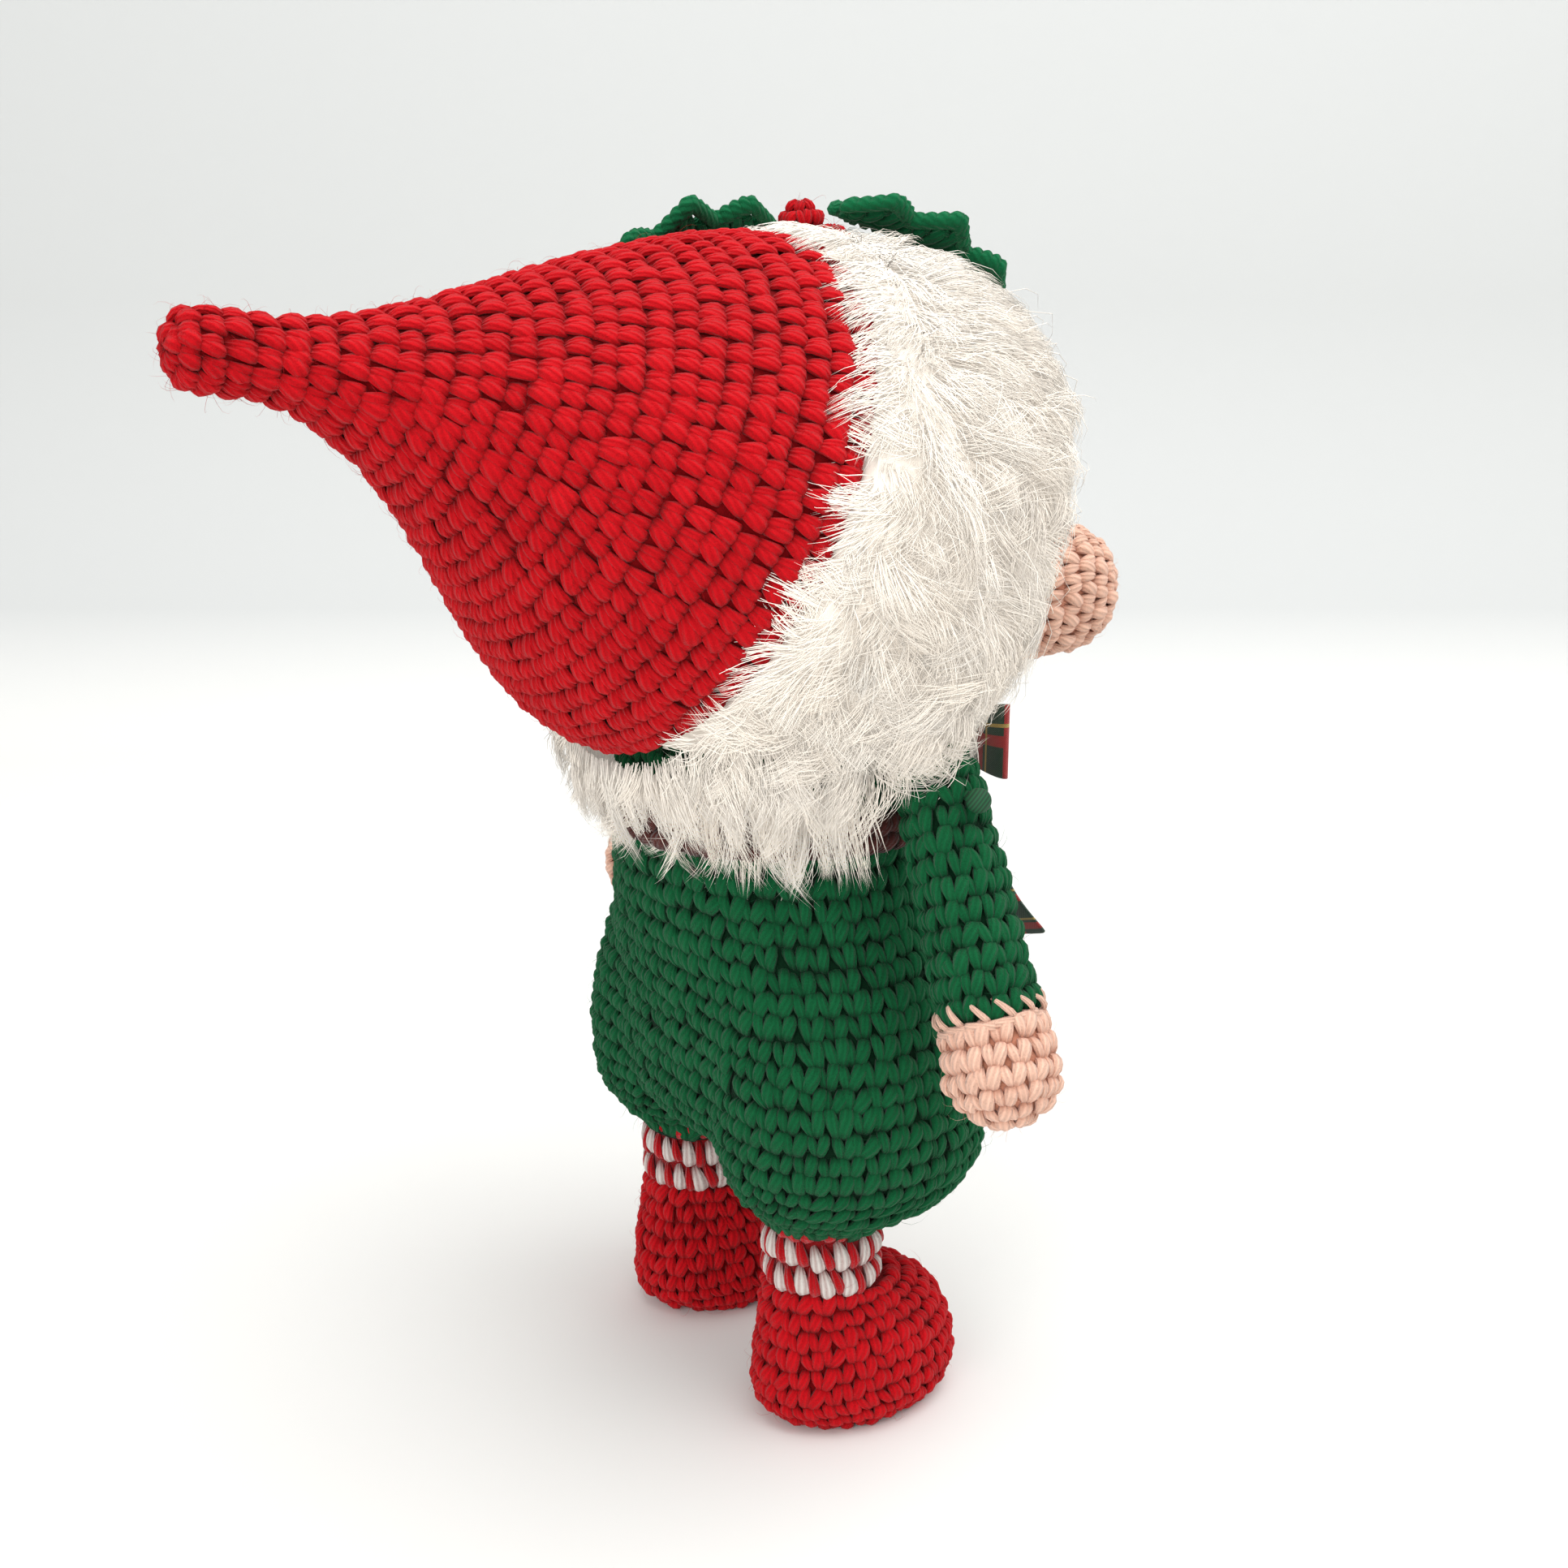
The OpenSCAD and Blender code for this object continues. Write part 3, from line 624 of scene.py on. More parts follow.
def hat_cloth():
    """From the tip of the hat to its rim: rings along a curve, which widen in a soft bell."""
    shape = sizes("gnome_shape")
    low, high = measure("hat")
    head, axis = head_centre(), hat_axis()
    rim = head + axis * shape["rim_ahead"]
    tip = np.array([0, high[1], head[2] + 26.2])
    knots = [rim, rim + [0, 18, 5.5], tip - [0, 18, 0.8], tip]
    a, s = round_grid()
    t = 1 - s ** 1.7
    mid = sum(knot * ((1 - t) ** (3 - i) * t ** i)[..., None] * times
              for i, (knot, times) in enumerate(zip(knots, (1, 3, 3, 1))))
    bell = (1 + np.cos(np.pi * np.minimum(1, t / 0.84))) / 2
    close = np.sqrt(np.maximum(0, 1 - (np.maximum(0, t - 0.93) / 0.0702) ** 2))
    r = (shape["tip_w"] / 2 + ((high[0] - low[0]) / 2 - shape["tip_w"] / 2) * bell) * np.maximum(close, 0.03)
    lean = shape["hat_lean"] * (1 - t * t)
    x = mid[..., 0] + r * np.cos(a)
    y = mid[..., 1] + r * np.sin(a) * np.sin(lean)
    z = mid[..., 2] - r * np.sin(a) * np.cos(lean)
    return Cloth(np.stack([x, y, z], -1))


def nose_cloth():
    """From the front of the nose back into the fur."""
    low, high = measure("nose")
    centre = (low + high) / 2
    a, s = round_grid()
    y = low[1] + (high[1] + 2 - low[1]) * s ** 1.6
    k = np.sqrt(np.clip(1 - (np.maximum(0, low[1] + 9 - y) / 9) ** 2, 0.001, 1))
    x = (high[0] - low[0]) / 2 * k * np.cos(a)
    z = centre[2] + (high[2] - low[2]) / 2 * k * np.sin(a)
    return Cloth(np.stack([x, y, z], -1))


def arm_frame(side):
    """Shoulder, direction down the arm and the two directions across it."""
    joint = next(j for j in frame["joints"] if j["name"] == f"{side}_arm_swing")
    lean = bpy.context.scene.gnome_shape.arm_out
    sign = -1 if side == "right" else 1
    down = unit(np.array([sign * math.sin(lean), 0.035, -math.cos(lean)]))
    b = unit(np.cross(down, [0, 1, 0]))
    return np.array(joint["pos_m"]) / MM, down, unit(np.cross(b, down)), b


def arm_cloth(side, runs, radii):
    """Rings round the arm at distances down from the shoulder thread."""
    start, down, first, second = arm_frame(side)
    a, _ = round_grid(steps=len(runs))
    runs, radii = np.array(runs)[None, :, None], np.array(radii)[None, :, None]
    return Cloth(start + down * runs + radii * (first * np.cos(a)[..., None] + second * np.sin(a)[..., None]))


def sleeve_cloth(side):
    """From the cuff up to the round top of the sleeve."""
    k = sizes("gnome_shape")
    s = np.linspace(0, 1, 100)
    top, cuff = k["sleeve_w"] / 2, k["cuff_down"]
    runs = np.concatenate([cuff * (1 - s), -top * np.sin(s[1:] * 1.5)])
    radii = np.where(runs > 0, top + (k["cuff_w"] / 2 - top) * runs / cuff,
                     top * np.sqrt(np.clip(1 - (runs / top) ** 2, 0.001, 1)))
    return arm_cloth(side, runs, radii)


def hand_cloth(side):
    """From the round end of the mitten up to the cuff."""
    k = sizes("gnome_shape")
    u = 1 - np.linspace(0, 1, 140) ** 1.6
    radii = ((k["cuff_w"] / 2 + (k["hand_w"] - k["cuff_w"]) / 2 * np.sin(np.pi / 2 * np.minimum(1, 2.5 * u)))
             * np.sqrt(np.clip(1 - (np.maximum(0, u - 0.45) / 0.553) ** 2, 0.001, 1)))
    return arm_cloth(side, k["cuff_down"] + k["hand_len"] * u, radii)


def ball_cloth(centre, radius):
    a, s = round_grid(96, 80)
    rise = np.pi * (0.02 + 0.96 * s) - np.pi / 2
    level = radius * np.cos(rise)
    return Cloth(np.stack([centre[0] + level * np.cos(a), centre[1] + level * np.sin(a),
                           centre[2] + radius * np.sin(rise)], -1))


# ---------------------------------------------------------------- materials

def new_material(name):
    made = bpy.data.materials.new(name)
    made.use_nodes = True
    return made, made.node_tree.nodes, made.node_tree.links, made.node_tree.nodes["Principled BSDF"]


def group(name, inputs, outputs):
    """A new node group with float sockets, and its input and output nodes."""
    made = bpy.data.node_groups.new(name, "ShaderNodeTree")
    for label, kind in inputs:
        made.interface.new_socket(label, in_out="INPUT", socket_type=kind)
    for label, kind in outputs:
        made.interface.new_socket(label, in_out="OUTPUT", socket_type=kind)
    return made, made.nodes.new("NodeGroupInput"), made.nodes.new("NodeGroupOutput")


def math_node(tree, operation, first, second=None, clamp=False):
    node = tree.nodes.new("ShaderNodeMath")
    node.operation, node.use_clamp = operation, clamp
    for socket, value in zip(node.inputs, (first, second)):
        if isinstance(value, bpy.types.NodeSocket):
            tree.links.new(value, socket)
        elif value is not None:
            socket.default_value = value
    return node.outputs[0]


def twist_group():
    """Fine plies that wind round a length of yarn: a height and a shade from the yarn's own map."""
    if "Yarn twist" in bpy.data.node_groups:
        return bpy.data.node_groups["Yarn twist"]
    tree, into, out = group(
        "Yarn twist",
        [("Map", "NodeSocketVector"), ("Plies", "NodeSocketFloat"), ("Turns", "NodeSocketFloat")],
        [("Height", "NodeSocketFloat"), ("Shade", "NodeSocketFloat")])
    parts = tree.nodes.new("ShaderNodeSeparateXYZ")
    tree.links.new(into.outputs["Map"], parts.inputs[0])
    wound = math_node(tree, "ADD", math_node(tree, "MULTIPLY", parts.outputs["X"], into.outputs["Turns"]),
                      math_node(tree, "MULTIPLY", parts.outputs["Y"], into.outputs["Plies"]))
    wave = math_node(tree, "SINE", math_node(tree, "MULTIPLY", wound, TAU))
    height = math_node(tree, "MULTIPLY_ADD", wave, 0.5)
    height.node.inputs[2].default_value = 0.5
    tree.links.new(height, out.inputs["Height"])
    tree.links.new(math_node(tree, "POWER", height, 0.6), out.inputs["Shade"])
    return tree


def attribute(nodes, name):
    node = nodes.new("ShaderNodeAttribute")
    node.attribute_name = name
    return node


def mix(tree, factor, first, second, blend="MIX"):
    node = tree.nodes.new("ShaderNodeMix")
    node.data_type, node.blend_type = "RGBA", blend
    for socket, value in ((node.inputs[0], factor), (node.inputs[6], first), (node.inputs[7], second)):
        if isinstance(value, bpy.types.NodeSocket):
            tree.links.new(value, socket)
        else:
            socket.default_value = value if isinstance(value, float) else (*value, 1)
    return node.outputs[2]


def noise(tree, scale, detail=3.0, coordinates="Object"):
    where = tree.nodes.new("ShaderNodeTexCoord")
    node = tree.nodes.new("ShaderNodeTexNoise")
    node.inputs["Scale"].default_value = scale
    node.inputs["Detail"].default_value = detail
    tree.links.new(where.outputs[coordinates], node.inputs["Vector"])
    return node.outputs[0]


def cotton(name, yarn, deep, second=None, plies=7.0, sheen=0.25):
    """Crochet cotton: plied yarn with painted shade in the grooves between its plies, painted shade deep
    between the stitches, each stitch a little different.
    """
    made, nodes, links, shader = new_material(name)
    tree = made.node_tree
    uv = nodes.new("ShaderNodeUVMap")
    uv.uv_map = "yarn"
    twist = nodes.new("ShaderNodeGroup")
    twist.node_tree = twist_group()
    twist.inputs["Plies"].default_value = plies
    twist.inputs["Turns"].default_value = 1.6
    links.new(uv.outputs[0], twist.inputs["Map"])
    fluff, patch = noise(tree, 5200.0), noise(tree, 160.0, 2.0)
    base = yarn if second is None else mix(tree, attribute(nodes, "dye").outputs["Fac"], yarn, second)
    lit = tuple(min(1.0, c * 1.3 + 0.004) for c in yarn) if second is None else base
    tone = math_node(tree, "MULTIPLY_ADD", attribute(nodes, "tone").outputs["Fac"], 0.7)
    links.new(patch, tone.node.inputs[2])
    body = mix(tree, math_node(tree, "SUBTRACT", tone, 0.35, clamp=True), base, lit)
    # Painted shade in the grooves between the plies: the yarn's colour darkened.
    dark = tuple(c * 0.6 for c in yarn) if second is None else deep
    plied = mix(tree, math_node(tree, "MULTIPLY_ADD", twist.outputs["Shade"], 0.5), dark, body)
    plied.node.inputs[0].links[0].from_node.inputs[2].default_value = 0.5
    tufts = math_node(tree, "SUBTRACT", fluff, 0.35, clamp=True)
    fuzzed = mix(tree, math_node(tree, "MULTIPLY", tufts, 0.8), plied, lit)
    # Painted shade: deep is the colour that fills the hollows between the stitches, the yarn's own colour on
    # top.
    links.new(mix(tree, attribute(nodes, "crown").outputs["Fac"], deep, fuzzed), shader.inputs["Base Color"])
    bump = nodes.new("ShaderNodeBump")
    bump.inputs["Strength"].default_value = 1.0
    bump.inputs["Distance"].default_value = 0.0002
    links.new(math_node(tree, "ADD", math_node(tree, "MULTIPLY", twist.outputs["Height"], 0.8), fluff),
              bump.inputs["Height"])
    links.new(bump.outputs[0], shader.inputs["Normal"])
    shader.inputs["Roughness"].default_value = 0.88
    shader.inputs["Specular IOR Level"].default_value = 0.12
    shader.inputs["Sheen Weight"].default_value = sheen
    shader.inputs["Sheen Roughness"].default_value = 0.45
    return made


def paint(name):
    return tuple(getattr(bpy.context.scene.gnome_colours, name))


def yarn_material(label, key, deep, **more):
    """The cotton of one colour, made once and used by all pieces of that colour; deep scales the colour down
    to the painted shade between the stitches.
    """
    if label in bpy.data.materials:
        return bpy.data.materials[label]
    yarn = paint(key)
    return cotton(label, yarn, tuple(c * d for c, d in zip(yarn, deep)), **more)


# The second numbers are the painted shade between the stitches, as shares of each yarn's colour.
def red_cotton():
    return yarn_material("Red cotton", "red", (0.4, 0.3, 0.36), sheen=0.06)


def green_cotton():
    return yarn_material("Green cotton", "green", (0.2, 0.2, 0.2), sheen=0.06)


def holly_cotton():
    return yarn_material("Holly cotton", "holly", (0.25, 0.25, 0.25), sheen=0.06)


def peach_cotton():
    return yarn_material("Peach cotton", "skin", (0.7, 0.48, 0.4))


def belt_yarn():
    return yarn_material("Belt yarn", "brown", (0.4, 0.4, 0.4), sheen=0.2)


def striped_cotton():
    return yarn_material("Striped cotton", "red", (0.45, 0.3, 0.4), second=paint("white"))


def pile_normal_group():
    """The strands' own normals, turned most of the way towards straight out from the head."""
    if "Pile normal" in bpy.data.node_groups:
        return bpy.data.node_groups["Pile normal"]
    tree, into, out = group("Pile normal", [("Centre", "NodeSocketVector"), ("Share", "NodeSocketFloat")],
                            [("Normal", "NodeSocketVector")])
    where, own = tree.nodes.new("ShaderNodeTexCoord"), tree.nodes.new("ShaderNodeNewGeometry")

    def vector(operation, first, second):
        node = tree.nodes.new("ShaderNodeVectorMath")
        node.operation = operation
        tree.links.new(first, node.inputs[0])
        if second is not None:
            tree.links.new(second, node.inputs[3 if operation == "SCALE" else 1])
        return node.outputs[0]

    outwards = vector("NORMALIZE", vector("SUBTRACT", where.outputs["Object"], into.outputs["Centre"]), None)
    turned = vector("ADD", own.outputs["Normal"], vector("SCALE", outwards, into.outputs["Share"]))
    tree.links.new(vector("NORMALIZE", turned, None), out.inputs["Normal"])
    return tree


def fur_material():
    """White pile: painted shade at its root, bright at its tips, with warm and cool strands."""
    if "White pile" in bpy.data.materials:
        return bpy.data.materials["White pile"]
    made, nodes, links, shader = new_material("White pile")
    tree, fur = made.node_tree, paint("fur")
    root = tuple(c * d for c, d in zip(fur, (0.93, 0.9, 0.87)))
    warm = tuple(c * d for c, d in zip(fur, (1.0, 0.96, 0.915)))
    strand = mix(tree, attribute(nodes, "tone").outputs["Fac"], warm, fur)
    patch = mix(tree, math_node(tree, "MULTIPLY", noise(tree, 90.0, 2.0), 0.35), strand, warm)
    # Painted shade: the darker root colour down in the pile, the full colour towards the tips.
    links.new(mix(tree, attribute(nodes, "crown").outputs["Fac"], root, patch), shader.inputs["Base Color"])
    outwards = nodes.new("ShaderNodeGroup")
    outwards.node_tree = pile_normal_group()
    outwards.inputs["Centre"].default_value = head_centre() * MM
    outwards.inputs["Share"].default_value = 1.6
    links.new(outwards.outputs[0], shader.inputs["Normal"])
    # Painted light: the pile glows faintly in its own colour, so that it looks brighter than the lamps make
    # it.
    links.new(patch, shader.inputs["Emission Color"])
    shader.inputs["Emission Strength"].default_value = 0.2
    shader.inputs["Roughness"].default_value = 0.8
    shader.inputs["Specular IOR Level"].default_value = 0.15
    return made


def filling_material():
    """Matted white fibre filling."""
    made, nodes, links, shader = new_material("Fibre filling")
    tree = made.node_tree
    lumps = noise(tree, 900.0, 6.0)
    links.new(mix(tree, lumps, (0.72, 0.7, 0.66), (0.9, 0.89, 0.87)), shader.inputs["Base Color"])
    bump = nodes.new("ShaderNodeBump")
    bump.inputs["Distance"].default_value = 0.0006
    links.new(lumps, bump.inputs["Height"])
    links.new(bump.outputs[0], shader.inputs["Normal"])
    shader.inputs["Roughness"].default_value = 0.95
    return made


def board_material():
    """Grey pressed board with short fibres."""
    made, _, links, shader = new_material("Insole board")
    tree = made.node_tree
    speckle = noise(tree, 3000.0, 8.0)
    links.new(mix(tree, speckle, (0.3, 0.26, 0.21), (0.52, 0.47, 0.4)), shader.inputs["Base Color"])
    links.new(math_node(tree, "MULTIPLY_ADD", speckle, 0.3), shader.inputs["Roughness"])
    shader.inputs["Roughness"].links[0].from_node.inputs[2].default_value = 0.6
    return made


def skin_node_material():
    """Peach cotton for the covered head ball, with rounds of stitches as a height and painted shade in the
    grooves between them.
    """
    made, nodes, links, shader = new_material("Covered peach cotton")
    tree, skin = made.node_tree, paint("skin")
    where = nodes.new("ShaderNodeTexCoord")
    wave = nodes.new("ShaderNodeTexWave")
    wave.wave_type, wave.bands_direction = "BANDS", "Z"
    wave.inputs["Scale"].default_value = 110.0
    wave.inputs["Distortion"].default_value = 2.0
    links.new(where.outputs["Object"], wave.inputs["Vector"])
    # Painted shade: the colour darkens in the grooves between the rounds.
    links.new(mix(tree, wave.outputs[0], tuple(c * 0.6 for c in skin), skin), shader.inputs["Base Color"])
    bump = nodes.new("ShaderNodeBump")
    bump.inputs["Distance"].default_value = 0.0005
    links.new(wave.outputs[0], bump.inputs["Height"])
    links.new(bump.outputs[0], shader.inputs["Normal"])
    shader.inputs["Roughness"].default_value = 0.9
    return made


def thread_material():
    """Twisted sewing thread, with painted shade in the grooves of its twist."""
    made, nodes, links, shader = new_material("Sewing thread")
    tree = made.node_tree
    where = nodes.new("ShaderNodeTexCoord")
    wave = nodes.new("ShaderNodeTexWave")
    wave.bands_direction = "DIAGONAL"
    wave.inputs["Scale"].default_value = 900.0
    links.new(where.outputs["Object"], wave.inputs["Vector"])
    green = paint("green")
    # Painted shade: darker diagonal bands where the twist dips.
    links.new(mix(tree, wave.outputs[0], tuple(c * 0.3 for c in green), green), shader.inputs["Base Color"])
    shader.inputs["Roughness"].default_value = 0.7
    return made


def ribbon_material():
    """Woven plaid ribbon: dark green with red bands and gold lines across and along it, and a fine weave."""
    if "Plaid ribbon" in bpy.data.materials:
        return bpy.data.materials["Plaid ribbon"]
    made, nodes, links, shader = new_material("Plaid ribbon")
    tree = made.node_tree
    uv = nodes.new("ShaderNodeUVMap")
    uv.uv_map = "yarn"
    parts = nodes.new("ShaderNodeSeparateXYZ")
    links.new(uv.outputs[0], parts.inputs[0])

    def bands(way, pitch, centre, half):
        place = math_node(tree, "FRACT", math_node(tree, "DIVIDE", parts.outputs[way], pitch))
        off = math_node(tree, "ABSOLUTE", math_node(tree, "SUBTRACT", place, centre))
        return math_node(tree, "LESS_THAN", off, half)

    red = math_node(tree, "MAXIMUM", bands("X", 5.0, 0.5, 0.12), bands("Y", 10.0, 0.5, 0.08))
    gold = math_node(tree, "MAXIMUM", bands("X", 5.0, 0.25, 0.035), bands("Y", 10.0, 0.72, 0.025))
    ground = mix(tree, red, paint("ribbon"), paint("ribbon_red"))
    plaid = mix(tree, gold, ground, paint("ribbon_gold"))
    weave_x = math_node(tree, "SINE", math_node(tree, "MULTIPLY", parts.outputs["X"], 22.0))
    weave_y = math_node(tree, "SINE", math_node(tree, "MULTIPLY", parts.outputs["Y"], 22.0))
    weave = math_node(tree, "MULTIPLY", weave_x, weave_y)
    shade = math_node(tree, "MULTIPLY_ADD", weave, 0.18)
    shade.node.inputs[2].default_value = 0.3
    links.new(mix(tree, shade, plaid, (0.0, 0.012, 0.008)), shader.inputs["Base Color"])
    bump = nodes.new("ShaderNodeBump")
    bump.inputs["Distance"].default_value = 0.00006
    links.new(weave, bump.inputs["Height"])
    links.new(bump.outputs[0], shader.inputs["Normal"])
    shader.inputs["Roughness"].default_value = 0.55
    shader.inputs["Sheen Weight"].default_value = 0.2
    return made


def stage_material(name, low, high):
    """A smooth painted sweep with a faint mottle; painted shade makes its wall darker than its floor."""
    made, nodes, links, shader = new_material(name)
    tree = made.node_tree
    where, parts = nodes.new("ShaderNodeTexCoord"), nodes.new("ShaderNodeSeparateXYZ")
    links.new(where.outputs["Object"], parts.inputs[0])
    # Painted shade: the colour goes from the floor's to the darker wall's as the sweep rises.
    rise = math_node(tree, "MULTIPLY", parts.outputs["Z"], 36.0, clamp=True)
    mottle = math_node(tree, "MULTIPLY", noise(tree, 3.0, 1.0), 0.04)
    share = math_node(tree, "ADD", rise, mottle, clamp=True)
    links.new(mix(tree, share, low, high), shader.inputs["Base Color"])
    shader.inputs["Roughness"].default_value = 0.9
    shader.inputs["Specular IOR Level"].default_value = 0.1
    return made


# ---------------------------------------------------------------- operators

class GNOME_OT_covered(bpy.types.Operator):
    """Gives the covered pieces of the frame their materials: head, fillings, insoles and thread"""

    bl_idname = "gnome.covered"
    bl_label = "Covered pieces"

    def execute(self, context):
        filling, board = filling_material(), board_material()
        looks = {"head": skin_node_material(), "shoulder_thread": thread_material()}
        for name, node in frame["nodes"].items():
            if name.endswith("_stuffing"):
                looks[name] = filling
            if name.endswith("_insole"):
                looks[name] = board
            if name in looks:
                for place in node.material_slots:
                    place.material = looks[name]
        return {"FINISHED"}


class GNOME_OT_shoes(bpy.types.Operator):
    """Crochets both shoes from the sole up"""

    bl_idname = "gnome.shoes"
    bl_label = "Shoes"

    def execute(self, context):
        for i, side in enumerate(SIDES):
            pile = crochet(shoe_cloth(side), stitch_legs(0.22), 10 + i)
            pile.points = [np.maximum(p, [-np.inf, -np.inf, 0.05]) for p in pile.points]
            piece(f"{side}_shoe_crochet", pile.mesh("shoe"), red_cotton(),
                  stands_for=[f"{side}_shoe"])
        return {"FINISHED"}


def sock_legs():
    """Two slanted drops of yarn in one stitch, the first of them white."""
    yarn = straight_yarn(8, 7)
    along = np.array([-0.08, 0.06, 0.22, 0.42, 0.64, 0.86, 1.05])
    high = np.array([-1.7, -0.72, -0.4, -0.34, -0.44, -0.8, -1.7])
    legs = []
    for start, full in ((-0.2, 0.34), (0.29, 0.25)):
        wide = full * np.array([0.4, 0.85, 1.0, 0.96, 0.8, 0.55, 0.3])
        across = start + 0.34 * (0.5 - along)
        legs.append(bent_yarn(yarn, np.stack([across, along, high], 1), wide, 0.62 * wide / full))
    return legs


class GNOME_OT_socks(bpy.types.Operator):
    """Crochets both socks, whose rounds carry a white and a red yarn"""

    bl_idname = "gnome.socks"
    bl_label = "Striped socks"

    def execute(self, context):
        yarn = sizes("gnome_yarn")
        for i, side in enumerate(SIDES):
            low, high = measure(f"{side}_sock")
            cloth = tube_cloth((low + high) / 2, (high[0] - low[0]) / 2, low[2] - 0.4, high[2])

            def white_legs(cells, k):
                return np.where((cells[:, 4:5] < 2) & (k == 0), 1.0, 0.0)

            pile = crochet(cloth, sock_legs(), 20 + i, round_h=yarn["sock_round_h"], stitch_w=3.6,
                           drift=0.6, dye=white_legs)
            piece(f"{side}_sock_crochet", pile.mesh("sock"), striped_cotton(),
                  stands_for=[f"{side}_sock"])
        return {"FINISHED"}


class GNOME_OT_shorts(bpy.types.Operator):
    """Crochets the shorts: the body and the two full legs"""

    bl_idname = "gnome.shorts"
    bl_label = "Shorts"

    def execute(self, context):
        legs = stitch_legs(0.24)
        pile = crochet(shorts_body_cloth(), legs, 30)
        piece("shorts_crochet", pile.mesh("shorts"), green_cotton(),
              stands_for=["shorts"])
        for i, side in enumerate(SIDES):
            pile = crochet(shorts_leg_cloth(-1 if side == "right" else 1), legs, 31 + i)
            piece(f"{side}_shorts_leg_crochet", pile.mesh("leg"), green_cotton(),
                  stands_for=["shorts"])
        return {"FINISHED"}


class GNOME_OT_jacket(bpy.types.Operator):
    """Crochets the jacket above the waist and the brown belt over its seam"""

    bl_idname = "gnome.jacket"
    bl_label = "Jacket and belt"

    def execute(self, context):
        low, high = measure("jacket")
        cloth = tube_cloth((low + high) / 2, (high[0] - low[0]) / 2, low[2], high[2])
        pile = crochet(cloth, stitch_legs(0.24), 40)
        piece("jacket_crochet", pile.mesh("jacket"), green_cotton(),
              stands_for=["jacket"])
        low, high = measure("belt")
        cloth = tube_cloth((low + high) / 2, (high[0] - low[0]) / 2, low[2], high[2])
        pile = crochet(cloth, stitch_legs(0.1, 0.35, 0.3), 41, round_h=2.1, stitch_w=2.6, fuzz=4.0)
        piece("belt_yarn", pile.mesh("belt"), belt_yarn(), stands_for=["belt"])
        return {"FINISHED"}


class GNOME_OT_nose(bpy.types.Operator):
    """Crochets the nose"""

    bl_idname = "gnome.nose"
    bl_label = "Nose"

    def execute(self, context):
        pile = crochet(nose_cloth(), stitch_legs(0.22), 50)
        piece("nose_crochet", pile.mesh("nose"), peach_cotton(),
              stands_for=["nose"])
        return {"FINISHED"}


class GNOME_OT_hat(bpy.types.Operator):
    """Crochets the hat from its tip to its rim"""

    bl_idname = "gnome.hat"
    bl_label = "Hat"

    def execute(self, context):
        legs = stitch_legs(0.13, 0.16, 0.3, 6)
        pile = crochet(hat_cloth(), legs, 60, round_h=2.8, stitch_w=2.8, drift=0.12)
        piece("hat_crochet", pile.mesh("hat"), red_cotton(), stands_for=["hat"])
        return {"FINISHED"}


class GNOME_OT_arms(bpy.types.Operator):
    """Crochets the sleeves and mittens, with the slanted strands that join them"""

    bl_idname = "gnome.arms"
    bl_label = "Arms"

    def execute(self, context):
        for i, side in enumerate(SIDES):
            body = f"{side}_arm"
            sleeve = sleeve_cloth(side)
            pile = crochet(sleeve, stitch_legs(0.24), 70 + i)
            piece(f"{side}_sleeve_crochet", pile.mesh("sleeve"), green_cotton(), body=body,
                  stands_for=[f"{side}_sleeve"])
            pile = crochet(hand_cloth(side), stitch_legs(0.22), 72 + i)
            self.join(pile, sleeve, np.random.default_rng(SEED + 74 + i))
            piece(f"{side}_hand_crochet", pile.mesh("hand"), peach_cotton(), body=body,
                  stands_for=[f"{side}_hand"])
        return {"FINISHED"}

    def join(self, pile, sleeve, rng):
        """A round of peach yarn at the cuff, and a strand from each of its stitches up over the green."""
        stitches, high = 13, 2.8 / sleeve.length
        cells = stitch_row((np.arange(stitches) + 0.5) / stitches, -0.2 * high, high, 0)
        yarn = straight_yarn(7, 7)
        across = np.linspace(-0.62, 0.62, 7)
        rope = bent_yarn(yarn, np.stack([across, 0 * across, -0.3 + 0 * across], 1), [0.2] * 7, [0.5] * 7)
        lay(pile, sleeve, cells, rope, rng, tone=0.6, dye=0.0, fibre=0.0)
        rise = np.array([0.0, 0.16, 0.34, 0.52, 0.7, 0.88, 1.02])
        strand = np.stack([0.42 - 0.78 * rise, rise, np.array([-0.9, -0.1, 0.16, 0.2, 0.14, -0.12, -1.0])], 1)
        slanted = bent_yarn(yarn, strand, [0.1, 0.13, 0.14, 0.13, 0.12, 0.1, 0.06],
                            [0.3, 0.36, 0.38, 0.36, 0.32, 0.26, 0.2])
        lay(pile, sleeve, cells, slanted, rng, tone=0.8, dye=0.0, fibre=0.0)


# ---------------------------------------------------------------- fur

